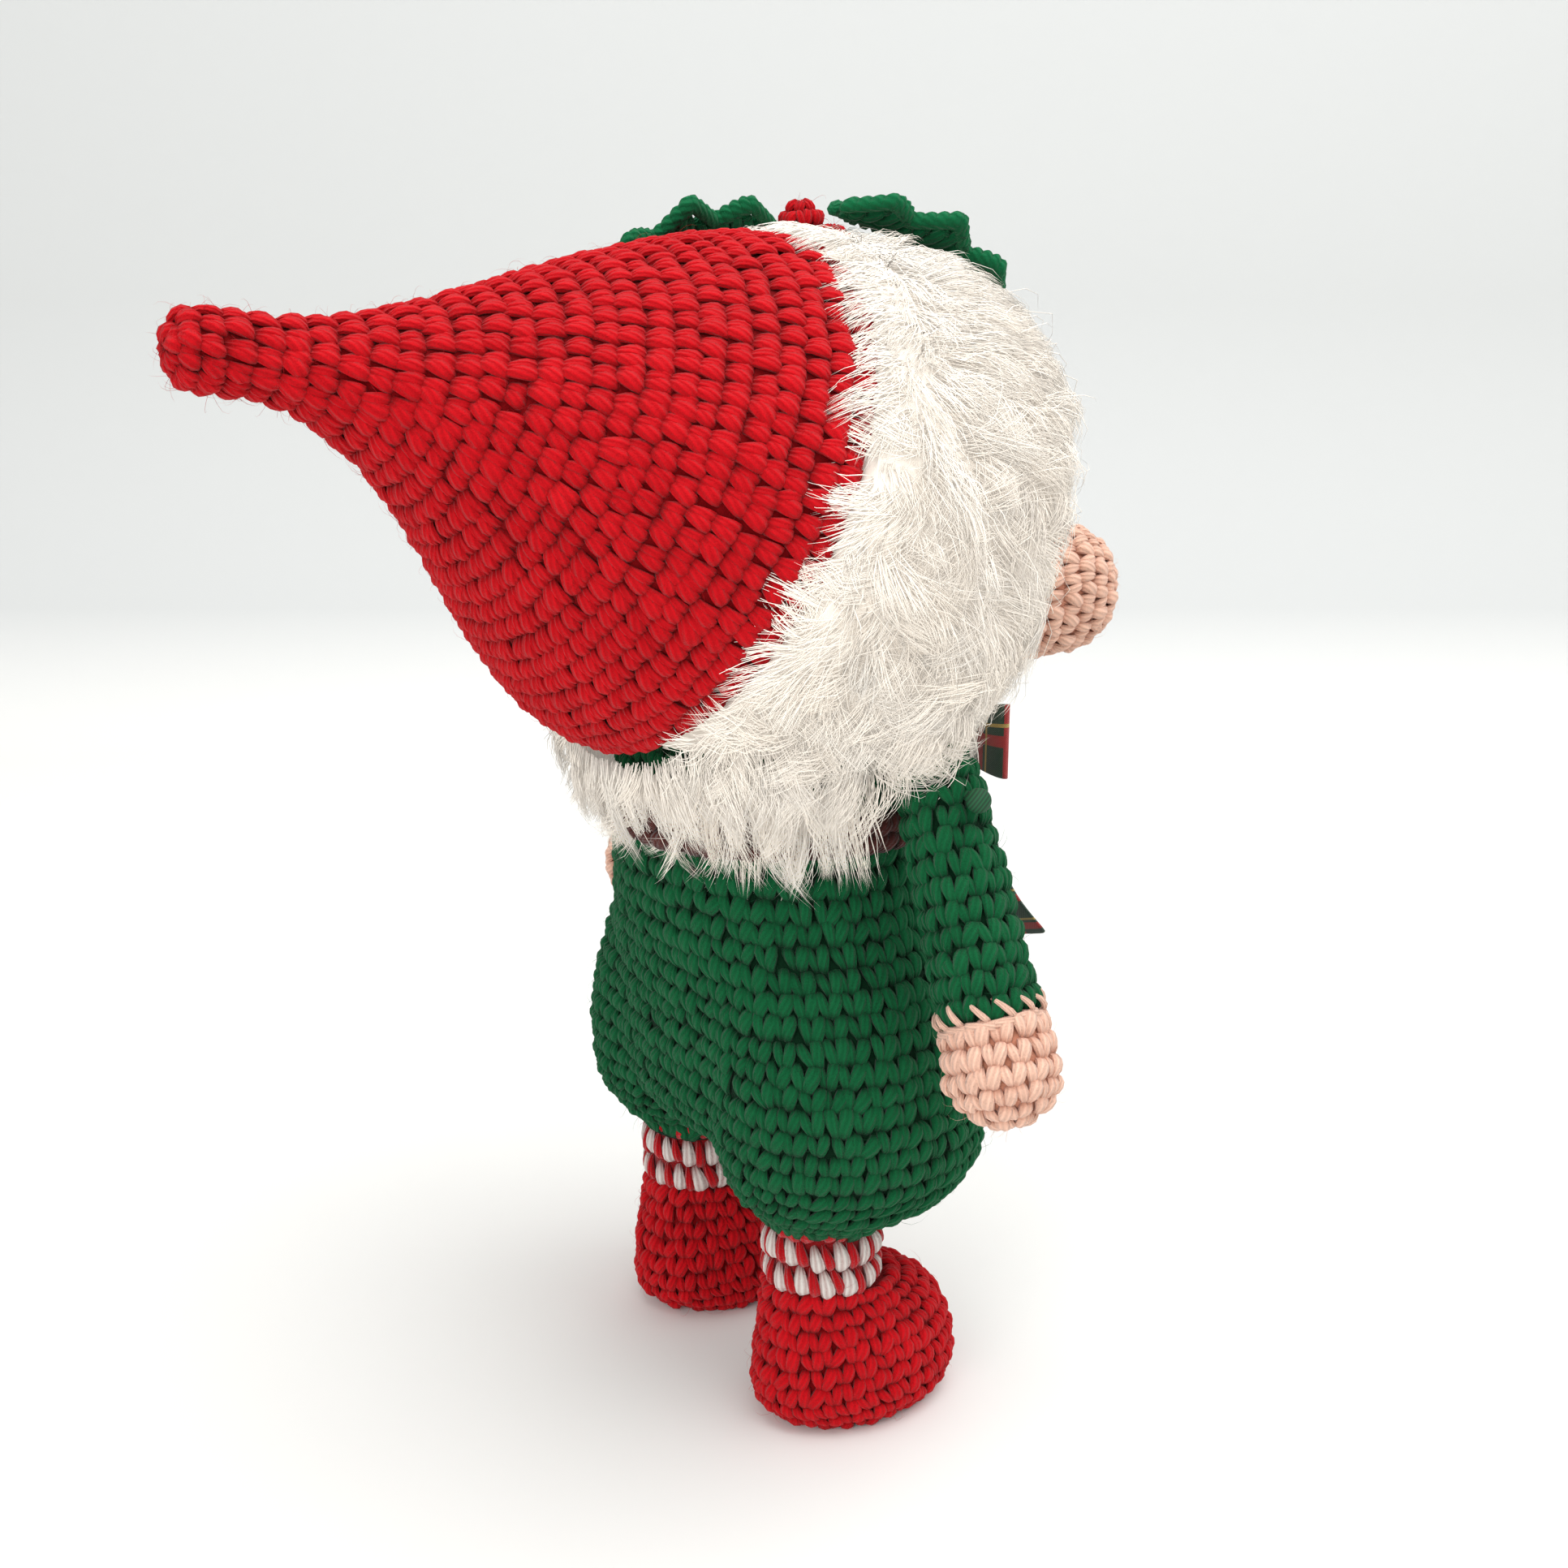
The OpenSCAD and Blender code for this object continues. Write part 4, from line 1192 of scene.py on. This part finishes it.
class FurField:
    """Where the pile grows on the head, which way it lies, and how far out it reaches."""

    # Radius at which the holes in the pile are measured, and the radii of those holes
    zone_r, nose_hole_r, arm_hole_r, neck_r = 34, 7.2, 9.5, 19
    # How far along the hat the pile grows, as a share of the way from the head's middle
    grows_to = 0.372

    def __init__(self):
        shape, fur = sizes("gnome_shape"), sizes("gnome_fur")
        self.centre, self.axis = head_centre(), hat_axis()
        self.pile = fur["pile"]
        self.rim = shape["rim_ahead"]
        self.shift = shape["fur_shift"]
        trim_low, trim_high = measure("hat_trim")
        head_low, head_high = measure("head")
        self.trim_r = (trim_high[0] - trim_low[0]) / 2
        self.beard_r = self.centre[1] - measure("beard")[0][1]
        self.head_r = (head_high[0] - head_low[0]) / 2
        self.flat_r = self.head_r + 1.4
        self.floor_z = trim_low[2] - self.centre[2]
        nose = middle("nose")
        self.nose = unit(np.array([0, measure("nose")[0][1], nose[2]]) - self.centre)
        self.nose_z = nose[2] - self.centre[2]
        self.shoulder = np.array(next(j for j in frame["joints"])["pos_m"]) / MM - self.centre

    def reach(self, n):
        """Outer radius of the fur from the middle of the head, in the direction n."""
        w = n @ self.axis
        trim = -self.shift * w + np.sqrt(self.trim_r ** 2 - self.shift ** 2 * (1 - w * w))
        out = self.beard_r + (trim - self.beard_r) * smooth(-0.5, -0.3, w)
        return out + (self.flat_r - out) * self.by_nose(n)

    def by_nose(self, n):
        """1 beside the nose, where the pile is pressed flat, and 0 away from it."""
        return smooth(0.5, 0.82, n @ self.nose)

    def depth(self, n):
        """Depth of the pile, which is thin over the hat's rim."""
        return self.pile * (1 - 0.62 * smooth(0.16, 0.36, n @ self.axis)) * (1 - 0.5 * self.by_nose(n))

    def grows(self, n):
        """True where a strand may be rooted: clear of the nose, the arms, the neck and the hat."""
        p = n * self.zone_r
        ok = (n @ self.axis < self.grows_to) & (p[:, 2] > self.floor_z)
        from_nose = np.hypot(p[:, 0], (p[:, 2] - self.nose_z) * 0.8)
        from_arm = np.hypot(p[:, 1] - self.shoulder[1], p[:, 2] - self.shoulder[2])
        nose_hole = (from_nose < self.nose_hole_r) & (p[:, 1] < 0)
        arm_hole = (from_arm < self.arm_hole_r) & (np.abs(p[:, 0]) > 18)
        neck = (np.hypot(p[:, 0], p[:, 1]) < self.neck_r) & (p[:, 2] < -20)
        return ok & ~nose_hole & ~arm_hole & ~neck

    def flow(self, n):
        """The way the pile is combed at n, along the surface."""
        def along(v):
            return unit(v - n * (n * v).sum(1, keepdims=True))

        ones = np.ones((len(n), 1))
        down, ahead, back = along(-UP * ones), along(-self.axis * ones), along(self.axis * ones)
        top = smooth(0.0, 0.85, n[:, 2:3])
        combed = ahead * (0.15 + 0.85 * top) + down * (1.0 - 0.75 * top)
        edge = smooth(0.12, 0.36, n @ self.axis)[:, None]
        under = smooth(-0.1, -0.6, n[:, 2:3])
        combed = combed * (1 - edge) + (back * (0.9 - 0.7 * under) + down * (0.3 + 0.4 * under)) * edge
        near = smooth(0.72, 0.9, n @ self.nose)[:, None]
        return unit(along(combed * (1 - near) + (along(n - self.nose) + 0.3 * down) * near))


def random_directions(count, rng):
    return unit(rng.normal(size=(count, 3)))


def strand_paths(field, n, lay_angle, curl, length, rise, droop):
    """Five points of each strand, which leaves the skin, bends over and lies along the flow."""
    flow = field.flow(n)
    side = np.cross(n, flow)
    way = flow * np.cos(lay_angle)[:, None] + side * np.sin(lay_angle)[:, None]
    across = np.cross(n, way)
    out = field.reach(n)
    free = smooth(-0.4, -0.75, n[:, 2]) * 0.85
    length = length * (1 + 0.05 * free) * (1 - 0.3 * field.by_nose(n))
    hang = unit(n * [1, 1, 0]) * 0.05 - UP
    paths = []
    for s in (0.0, 0.25, 0.5, 0.75, 1.0):
        turn = (length * s / out * (1 - free))[:, None]
        curled = across * (curl * length / out * s * s)[:, None]
        direction = unit(n * np.cos(turn) + way * np.sin(turn) + curled)
        depth = field.depth(direction)
        high = field.reach(direction) - depth + depth * rise * (1 - (1 - s) ** 2.2) - droop * s ** 3
        paths.append(field.centre + direction * high[:, None] + hang * (free * length * s)[:, None])
    return np.stack(paths, 1)


def fur_paths(field, fur, rng):
    """All strands of the pile, gathered into locks, with their radius and shade."""
    count = fur["strands"] // 1
    locks = random_directions(6 * fur["locks"], rng)
    locks = locks[field.grows(locks)][: fur["locks"]]
    m = len(locks)
    top = smooth(0.1, 0.8, locks[:, 2])
    edge = smooth(0.1, 0.34, locks @ field.axis)
    wild = 0.66 * (1 - top) + 0.2
    lock = {
        "lay_angle": rng.normal(0, 1, m) * wild,
        "curl": rng.normal(0, 0.55, m) * (1 - 0.7 * top),
        "length": fur["length"] * rng.uniform(0.7, 1.2, m) * (1 + 0.45 * edge * (rng.random(m) - 0.35)),
        "rise": rng.uniform(0.5, 1.2, m) + 0.6 * edge * rng.random(m),
        "droop": rng.uniform(0.0, 1.4, m) + 1.0 * edge * rng.random(m),
    }
    middle_paths = strand_paths(field, locks, **lock)
    n = random_directions(2 * count, rng)
    n = n[field.grows(n)][:count]
    nearest = np.concatenate([np.argmax(part @ locks.T, 1) for part in np.array_split(n, 40)])
    mine = {key: value[nearest] for key, value in lock.items()}
    mine["lay_angle"] = mine["lay_angle"] + rng.normal(0, 0.3, len(n))
    mine["length"] = mine["length"] * rng.uniform(0.6, 1.12, len(n))
    mine["rise"] = mine["rise"] * rng.uniform(0.6, 1.1, len(n))
    mine["rise"] += (rng.random(len(n)) < 0.03) * rng.random(len(n))
    paths = strand_paths(field, n, **mine)
    s = np.linspace(0, 1, 5)[None, :, None]
    pull = rng.uniform(0.1, 0.8, len(n))[:, None, None]
    paths = paths + (middle_paths[nearest] - paths) * pull * s ** 1.2
    paths[:, 1:] += rng.normal(0, 0.12, (len(n), 4, 3))
    radius = fur["radius"] * rng.uniform(0.7, 1.25, len(n)) * 1.0
    tone = np.clip(0.5 + 0.25 * rng.normal(size=m)[nearest] + 0.15 * rng.normal(size=len(n)), 0, 1)
    return paths, radius, tone, n


def fur_backing(field):
    """The cloth of the pile: a bumpy ball that is cut off at the hat's rim and at the neck."""
    bpy.ops.object.select_all(action="DESELECT")
    bpy.ops.mesh.primitive_ico_sphere_add(subdivisions=6, radius=1)
    made = bpy.context.object
    me = made.data
    n = unit(np.array([v.co for v in me.vertices]))
    low = smooth(-0.2, -0.75, n[:, 2])
    bumps = 0.5 * np.sin(n @ [31, 17, 23]) * np.sin(n @ [-19, 29, 27]) * np.sin(n @ [13, -37, 33])
    r = (field.reach(n) - field.depth(n) + 0.2 + bumps) * (1 - low) + 31.6 * low
    r = np.maximum(r, field.head_r + 0.35)
    me.vertices.foreach_set("co", ((field.centre + n * r[:, None]) * MM).astype(np.float32).ravel())
    bpy.ops.object.mode_set(mode="EDIT")
    for point, outwards in ((field.centre + field.axis * (field.rim - 0.6), field.axis),
                            (field.centre + UP * (field.floor_z + 0.4), -UP)):
        bpy.ops.mesh.select_all(action="SELECT")
        bpy.ops.mesh.bisect(plane_co=point * MM, plane_no=outwards, use_fill=True, clear_outer=True)
    bpy.ops.mesh.select_all(action="SELECT")
    bpy.ops.mesh.normals_make_consistent(inside=False)
    bpy.ops.object.mode_set(mode="OBJECT")
    bpy.ops.object.shade_smooth_by_angle(angle=math.radians(50))
    # The backing gets mostly the painted shade colour of the roots.
    for key, value in (("crown", 0.25), ("tone", 0.4)):
        mark = me.attributes.new(key, "FLOAT", "POINT")
        mark.data.foreach_set("value", np.full(len(me.vertices), value, np.float32))
    kept = me.copy()
    bpy.data.objects.remove(made)
    kept.materials.clear()
    return kept


class GNOME_OT_fur(bpy.types.Operator):
    """Covers the head with white pile, combed forward over the top and hanging free below"""

    bl_idname = "gnome.fur"
    bl_label = "Fur trim and beard"

    def execute(self, context):
        rng = np.random.default_rng(SEED)
        field, fur = FurField(), sizes("gnome_fur")
        piece("fur_backing", fur_backing(field), fur_material(),
              stands_for=["hat_trim", "beard"])
        paths, radius, tone, n = fur_paths(field, fur, rng)
        beard = n @ field.axis * field.zone_r < -15.2
        round_hat = np.floor((np.arctan2(n[:, 0], n[:, 2]) / TAU % 1) * 5).astype(int)
        part = np.where(beard, 5 + 2 * (n[:, 0] > 0) + (n[:, 2] > -0.4), round_hat)
        shape = hair_shape()
        for k in range(9):
            mine = part == k
            pile = Pile()
            rise = shape["points"][None, :, 2]
            # Painted shade along each strand, darkest at the root and none at the tip.
            pile.add(hairs(paths[mine], radius[mine]), shape, crown=smooth(-0.25, 0.8, rise),
                     tone=tone[mine][:, None])
            name = f"beard_pile_{k - 4}" if k > 4 else f"trim_pile_{k + 1}"
            piece(name, pile.mesh(name), fur_material(),
                  stands_for=["beard"] if k > 4 else ["hat_trim"])
        return {"FINISHED"}


# ---------------------------------------------------------------- holly and bow

LEAVES = {"holly_leaf_front": (-78, 62, -14), "holly_leaf_back": (27, 62, 60)}
BERRIES = ("holly_berry_1", "holly_berry_2", "holly_berry_3")


def on_fur(turn, rise, spin, out):
    """The place at a distance out from the middle of the ball of fur, turned as a leaf is laid."""
    centre = Vector(head_centre() - hat_axis() * sizes("gnome_shape")["fur_shift"])
    return (Matrix.Translation(centre) @ Matrix.Rotation(math.radians(turn), 4, "Z")
            @ Matrix.Rotation(math.radians(90 - rise), 4, "Y") @ Matrix.Translation((0, 0, out))
            @ Matrix.Rotation(math.radians(spin), 4, "Z"))


def leaf_edge(t, wide):
    return wide / 2 * np.sin(np.pi * t) ** 0.4 * (0.42 + 0.54 * (1 - np.abs(np.cos(3 * np.pi * t))) ** 0.5)


def tube_along(pile, points, wide, deep, tone):
    """One length of yarn along points in millimetres, seven of them, on a leaf that lies flat."""
    yarn = straight_yarn(7, 7)
    shape = bent_yarn(yarn, points, wide, deep)
    height = shape["points"][None, :, 2]
    # Painted shade on the lower side of each length of yarn, its full colour on top.
    pile.add(shape["points"][None], shape, crown=smooth(-1.6, 0.2, height) * 0.9 + 0.1, tone=tone,
             dye=0.0, fibre=0.0)


class GNOME_OT_holly(bpy.types.Operator):
    """Crochets the two lobed holly leaves and three berries that lie on the fur"""

    bl_idname = "gnome.holly"
    bl_label = "Holly"

    def execute(self, context):
        shape = sizes("gnome_shape")
        field = FurField()
        for i, (node, (turn, rise, spin)) in enumerate(LEAVES.items()):
            place = np.array(on_fur(turn, rise, spin, field.trim_r + 2.3))
            pile = self.leaf(shape, np.random.default_rng(SEED + 80 + i))
            pile.points = [self.laid(p, place, shape["leaf_len"]) for p in pile.points]
            piece(f"{node}_crochet", pile.mesh(node), holly_cotton(), stands_for=[node])
        for i, node in enumerate(BERRIES):
            ball = ball_cloth(middle(node), shape["berry_w"] / 2)
            pile = crochet(ball, stitch_legs(0.2), 90 + i, round_h=2.4, stitch_w=2.6)
            piece(f"{node}_crochet", pile.mesh(node), red_cotton(), stands_for=[node])
        return {"FINISHED"}

    def laid(self, points, place, length):
        """The flat leaf, sagged over the fur with its lobes turned up, and put in its place."""
        p = points.copy()
        p[:, 2] += 0.034 * p[:, 1] ** 2 - 2.2 * (p[:, 0] / length * 2) ** 2
        return p @ place[:3, :3].T + place[:3, 3]

    def leaf(self, shape, rng):
        """Yarn from the midrib out to each point of the edge, with a chain of yarn round the edge."""
        pile = Pile()
        long, wide = shape["leaf_len"], shape["leaf_w"]
        bend = np.linspace(0, 1, 7)
        arch = np.array([-0.5, 0.35, 0.6, 0.65, 0.55, 0.3, -0.4])
        for side in (-1, 1):
            for t in np.arange(0.07, 0.96, 0.062):
                reach = leaf_edge(t, wide) - 0.7
                x = long * (t - 0.5) + 1.5 * bend + rng.normal(0, 0.12)
                y = side * (0.1 + max(1.0, reach) * bend)
                for layer in (1, -1):
                    points = np.stack([x, y, layer * arch], 1)
                    tube_along(pile, points, [0.75] * 7, [0.7, 0.8, 0.8, 0.8, 0.8, 0.75, 0.6],
                               rng.uniform(0.3, 0.7))
            edge_t = np.linspace(0.02, 0.98, 25)
            for k in range(len(edge_t) - 1):
                t = np.linspace(edge_t[k] - 0.008, edge_t[k + 1] + 0.008, 7).clip(0.005, 0.995)
                points = np.stack([long * (t - 0.5), side * leaf_edge(t, wide),
                                   0.25 * np.sin(bend * np.pi)], 1)
                tube_along(pile, points, [0.5, 0.85, 0.95, 1.0, 0.95, 0.85, 0.5],
                           [0.7, 1.0, 1.1, 1.15, 1.1, 1.0, 0.7], rng.uniform(0.3, 0.75))
        t = np.linspace(0.04, 0.96, 7)
        for layer in (1, -1):
            points = np.stack([long * (t - 0.5), 0 * t, layer * 0.8 + 0 * t], 1)
            tube_along(pile, points, [0.4, 0.6, 0.65, 0.65, 0.65, 0.6, 0.4], [0.5] * 7, 0.35)
        return pile


def ribbon_strip(name, centre, across, half_w, stands_for, thick=0.3):
    """A strip of ribbon along a line, given by its half width across; its map is in millimetres."""
    cols = np.linspace(-1, 1, 9)
    grid = centre[:, None] + across[:, None] * (half_w[:, None] * cols[None, :])[..., None]
    run = np.concatenate([[0], np.cumsum(np.linalg.norm(np.diff(centre, axis=0), axis=1))])
    rows, columns = grid.shape[:2]
    index = np.arange(rows * columns).reshape(rows, columns)
    quads = np.stack([index[:-1, :-1], index[1:, :-1], index[1:, 1:], index[:-1, 1:]], -1).reshape(-1, 4)
    at = np.stack(np.broadcast_arrays(run[:, None], 5 + cols[None, :] * half_w.max()), -1).reshape(-1, 2)
    pile = Pile()
    pile.add(grid.reshape(1, -1, 3), {"quads": quads, "tris": np.zeros((0, 3), int), "uv": at[quads.ravel()]})
    obj = piece(name, pile.mesh(name), ribbon_material(), stands_for=stands_for)
    for one in bpy.context.selected_objects:
        one.select_set(False)
    bpy.context.view_layer.objects.active = obj
    obj.select_set(True)
    for kind, values in (("SUBSURF", {"levels": 1, "render_levels": 1}),
                         ("SOLIDIFY", {"thickness": thick * MM, "offset": 0.0})):
        added = obj.modifiers.new(kind.title(), kind)
        for key, value in values.items():
            setattr(added, key, value)
        bpy.ops.object.modifier_apply(modifier=added.name)
    obj.select_set(False)
    return obj, run[-1]


class GNOME_OT_bow(bpy.types.Operator):
    """Ties the plaid bow under the beard: a knot, two loops and two tails"""

    bl_idname = "gnome.bow"
    bl_label = "Bow"

    def execute(self, context):
        knot_low, knot_high = measure("bow_knot")
        centre = (knot_low + knot_high) / 2
        self.knot(centre, knot_high - knot_low)
        for side, sign in (("right", -1), ("left", 1)):
            self.loop(side, sign, centre)
            self.tail(side, sign)
        return {"FINISHED"}

    def knot(self, centre, size):
        """Ribbon wound once round the middle, drawn in at its edges."""
        a = np.linspace(0, TAU, 25)
        line = centre + np.stack([0 * a, -size[1] / 2 * np.cos(a), size[2] / 2 * np.sin(a)], 1)
        half = size[0] / 2 * (0.92 + 0.08 * np.cos(2 * a))
        ribbon_strip("bow_knot_ribbon", line, np.tile([1.0, 0, 0], (25, 1)), half,
                     stands_for=["bow_knot"], thick=0.5)

    def loop(self, side, sign, centre):
        """Out along the front, round the fold and back behind, pinched at the knot."""
        low, high = measure(f"{side}_bow_loop")
        far = (high if sign > 0 else low)[0]
        s = np.linspace(0, 1, 33)
        x = sign * 2.6 + (far - sign * 3.2) * np.sin(np.pi * s) ** 0.8
        open_y = 1.5 * np.cos(np.pi * s) * np.sin(np.pi * s) ** 0.5
        y = (low[1] + high[1]) / 2 + 0.6 * np.sin(np.pi * s) - open_y
        z = centre[2] + 1.0 * np.sin(np.pi * s)
        half = 2.6 + ((high[2] - low[2]) / 2 - 2.6) * np.sin(np.pi * s) ** 0.6
        strip, length = ribbon_strip(f"{side}_bow_loop_ribbon", np.stack([x, y, z], 1),
                                     np.tile(UP, (33, 1)), half, stands_for=[f"{side}_bow_loop"])

    def tail(self, side, sign):
        """A tail that hangs from behind the knot to a slanted end, with a soft wave."""
        low, high = measure(f"{side}_bow_tail")
        s = np.linspace(0, 1, 21)
        x = sign * 2.7 + ((high if sign > 0 else low)[0] - sign * 5.2 - sign * 2.7) * s ** 2.4
        y = low[1] + 0.5 + (high[1] - low[1] - 1) * s + 0.7 * np.sin(3 * np.pi * s)
        z = high[2] + (low[2] - high[2]) * s
        half = 2.4 + 2.4 * smooth(0, 0.5, s)
        strip, length = ribbon_strip(f"{side}_bow_tail_ribbon", np.stack([x, y, z], 1),
                                     np.tile(unit(np.array([1.0, 0, 0.35 * sign])), (21, 1)), half,
                                     stands_for=[f"{side}_bow_tail"])


# ---------------------------------------------------------------- stage

def aimed(obj, place, target):
    obj.location = place
    obj.rotation_euler = (Vector(target) - Vector(place)).to_track_quat("-Z", "Y").to_euler()


class GNOME_OT_stage(bpy.types.Operator):
    """Sets up the pale sweep, the soft lights and the camera"""

    bl_idname = "gnome.stage"
    bl_label = "Stage"

    def execute(self, context):
        stage = context.scene.gnome_stage
        target = Vector((0, head_centre()[1] * MM, stage.target_z))
        flat = Vector((math.sin(stage.azimuth), -math.cos(stage.azimuth), 0))
        back = flat * math.cos(stage.rise) + Vector((0, 0, math.sin(stage.rise)))
        camera = bpy.data.objects.new("camera", bpy.data.cameras.new("camera"))
        context.scene.collection.objects.link(camera)
        aimed(camera, target + back * stage.away, target)
        camera.data.lens, camera.data.sensor_width = stage.lens, 36.0
        camera.data.shift_x, camera.data.shift_y = 0.0006, -0.017
        camera.data.clip_start, camera.data.clip_end = 0.01, 20
        context.scene.camera = camera
        self.sweep(stage, flat)
        side = Vector((-flat.y, flat.x, 0))
        for name, power, size, place in (
                ("key", stage.key, 0.8, side * 0.16 + Vector((0, 0, 0.62)) + flat * 0.05),
                ("fill", stage.fill, 0.5, flat * 0.62 - side * 0.28 + Vector((0, 0, 0.34)))):
            lamp = bpy.data.objects.new(name, bpy.data.lights.new(name, "AREA"))
            context.scene.collection.objects.link(lamp)
            lamp.data.energy, lamp.data.size, lamp.data.shape = power, size, "DISK"
            aimed(lamp, place, (0, 0, 0.07))
        world = bpy.data.worlds.new("room")
        context.scene.world = world
        world.use_nodes = True
        shade = world.node_tree.nodes["Background"]
        shade.inputs[0].default_value = (1.0, 0.995, 0.985, 1)
        shade.inputs[1].default_value = stage.sky
        context.scene.view_settings.view_transform = "Standard"
        return {"FINISHED"}

    def sweep(self, stage, flat):
        """A floor that rises in a wide curve into a wall, square to the camera."""
        side = Vector((-flat.y, flat.x, 0))
        bend, tall = 0.12, 2.2
        line = [(1.6, 0.0), (-stage.wall, 0.0)]
        line += [(-stage.wall - bend * math.sin(a), bend * (1 - math.cos(a)))
                 for a in np.linspace(0.05, math.pi / 2, 30)]
        line.append((-stage.wall - bend, tall))
        points = [flat * d + side * w + Vector((0, 0, z)) for d, z in line for w in (-2.2, 2.2)]
        faces = [(2 * i, 2 * i + 2, 2 * i + 3, 2 * i + 1) for i in range(len(line) - 1)]
        me = bpy.data.meshes.new("sweep")
        me.from_pydata([tuple(p) for p in points], [], faces)
        for p in me.polygons:
            p.use_smooth = True
        sweep = bpy.data.objects.new("sweep", me)
        bpy.context.scene.collection.objects.link(sweep)
        # The wall's colour is the floor's with painted shade.
        me.materials.append(stage_material("Painted sweep", (0.84, 0.838, 0.82), (0.62, 0.632, 0.628)))


OPERATORS = (GNOME_OT_stage, GNOME_OT_covered, GNOME_OT_shoes, GNOME_OT_socks, GNOME_OT_shorts,
             GNOME_OT_jacket, GNOME_OT_nose, GNOME_OT_hat, GNOME_OT_arms, GNOME_OT_fur, GNOME_OT_holly,
             GNOME_OT_bow)
SETTINGS = {"gnome_yarn": GnomeYarn, "gnome_colours": GnomeColours, "gnome_fur": GnomeFur,
            "gnome_shape": GnomeShape, "gnome_stage": GnomeStage}


class GNOME_PT_panel(bpy.types.Panel):
    """Lists what builds each group of pieces"""

    bl_idname = "GNOME_PT_panel"
    bl_label = "Crocheted gnome"
    bl_space_type = "VIEW_3D"
    bl_region_type = "UI"
    bl_category = "Gnome"

    def draw(self, context):
        for group_name in SETTINGS:
            box = self.layout.box()
            values = getattr(context.scene, group_name)
            for key in values.__annotations__:
                box.prop(values, key)
        for operator in OPERATORS:
            self.layout.operator(operator.bl_idname)


def register():
    for cls in (*SETTINGS.values(), *OPERATORS, GNOME_PT_panel):
        bpy.utils.register_class(cls)
    for name, cls in SETTINGS.items():
        setattr(bpy.types.Scene, name, bpy.props.PointerProperty(type=cls))


def unregister():
    for name in SETTINGS:
        delattr(bpy.types.Scene, name)
    for cls in (GNOME_PT_panel, *reversed(OPERATORS), *SETTINGS.values()):
        bpy.utils.unregister_class(cls)


def main():
    register()
    for operator in OPERATORS:
        area, name = operator.bl_idname.split(".")
        if getattr(getattr(bpy.ops, area), name)() != {"FINISHED"}:
            raise RuntimeError(f"{operator.bl_label} didn't finish")
    bpy.context.view_layer.update()


if __name__ == "__main__":
    main()
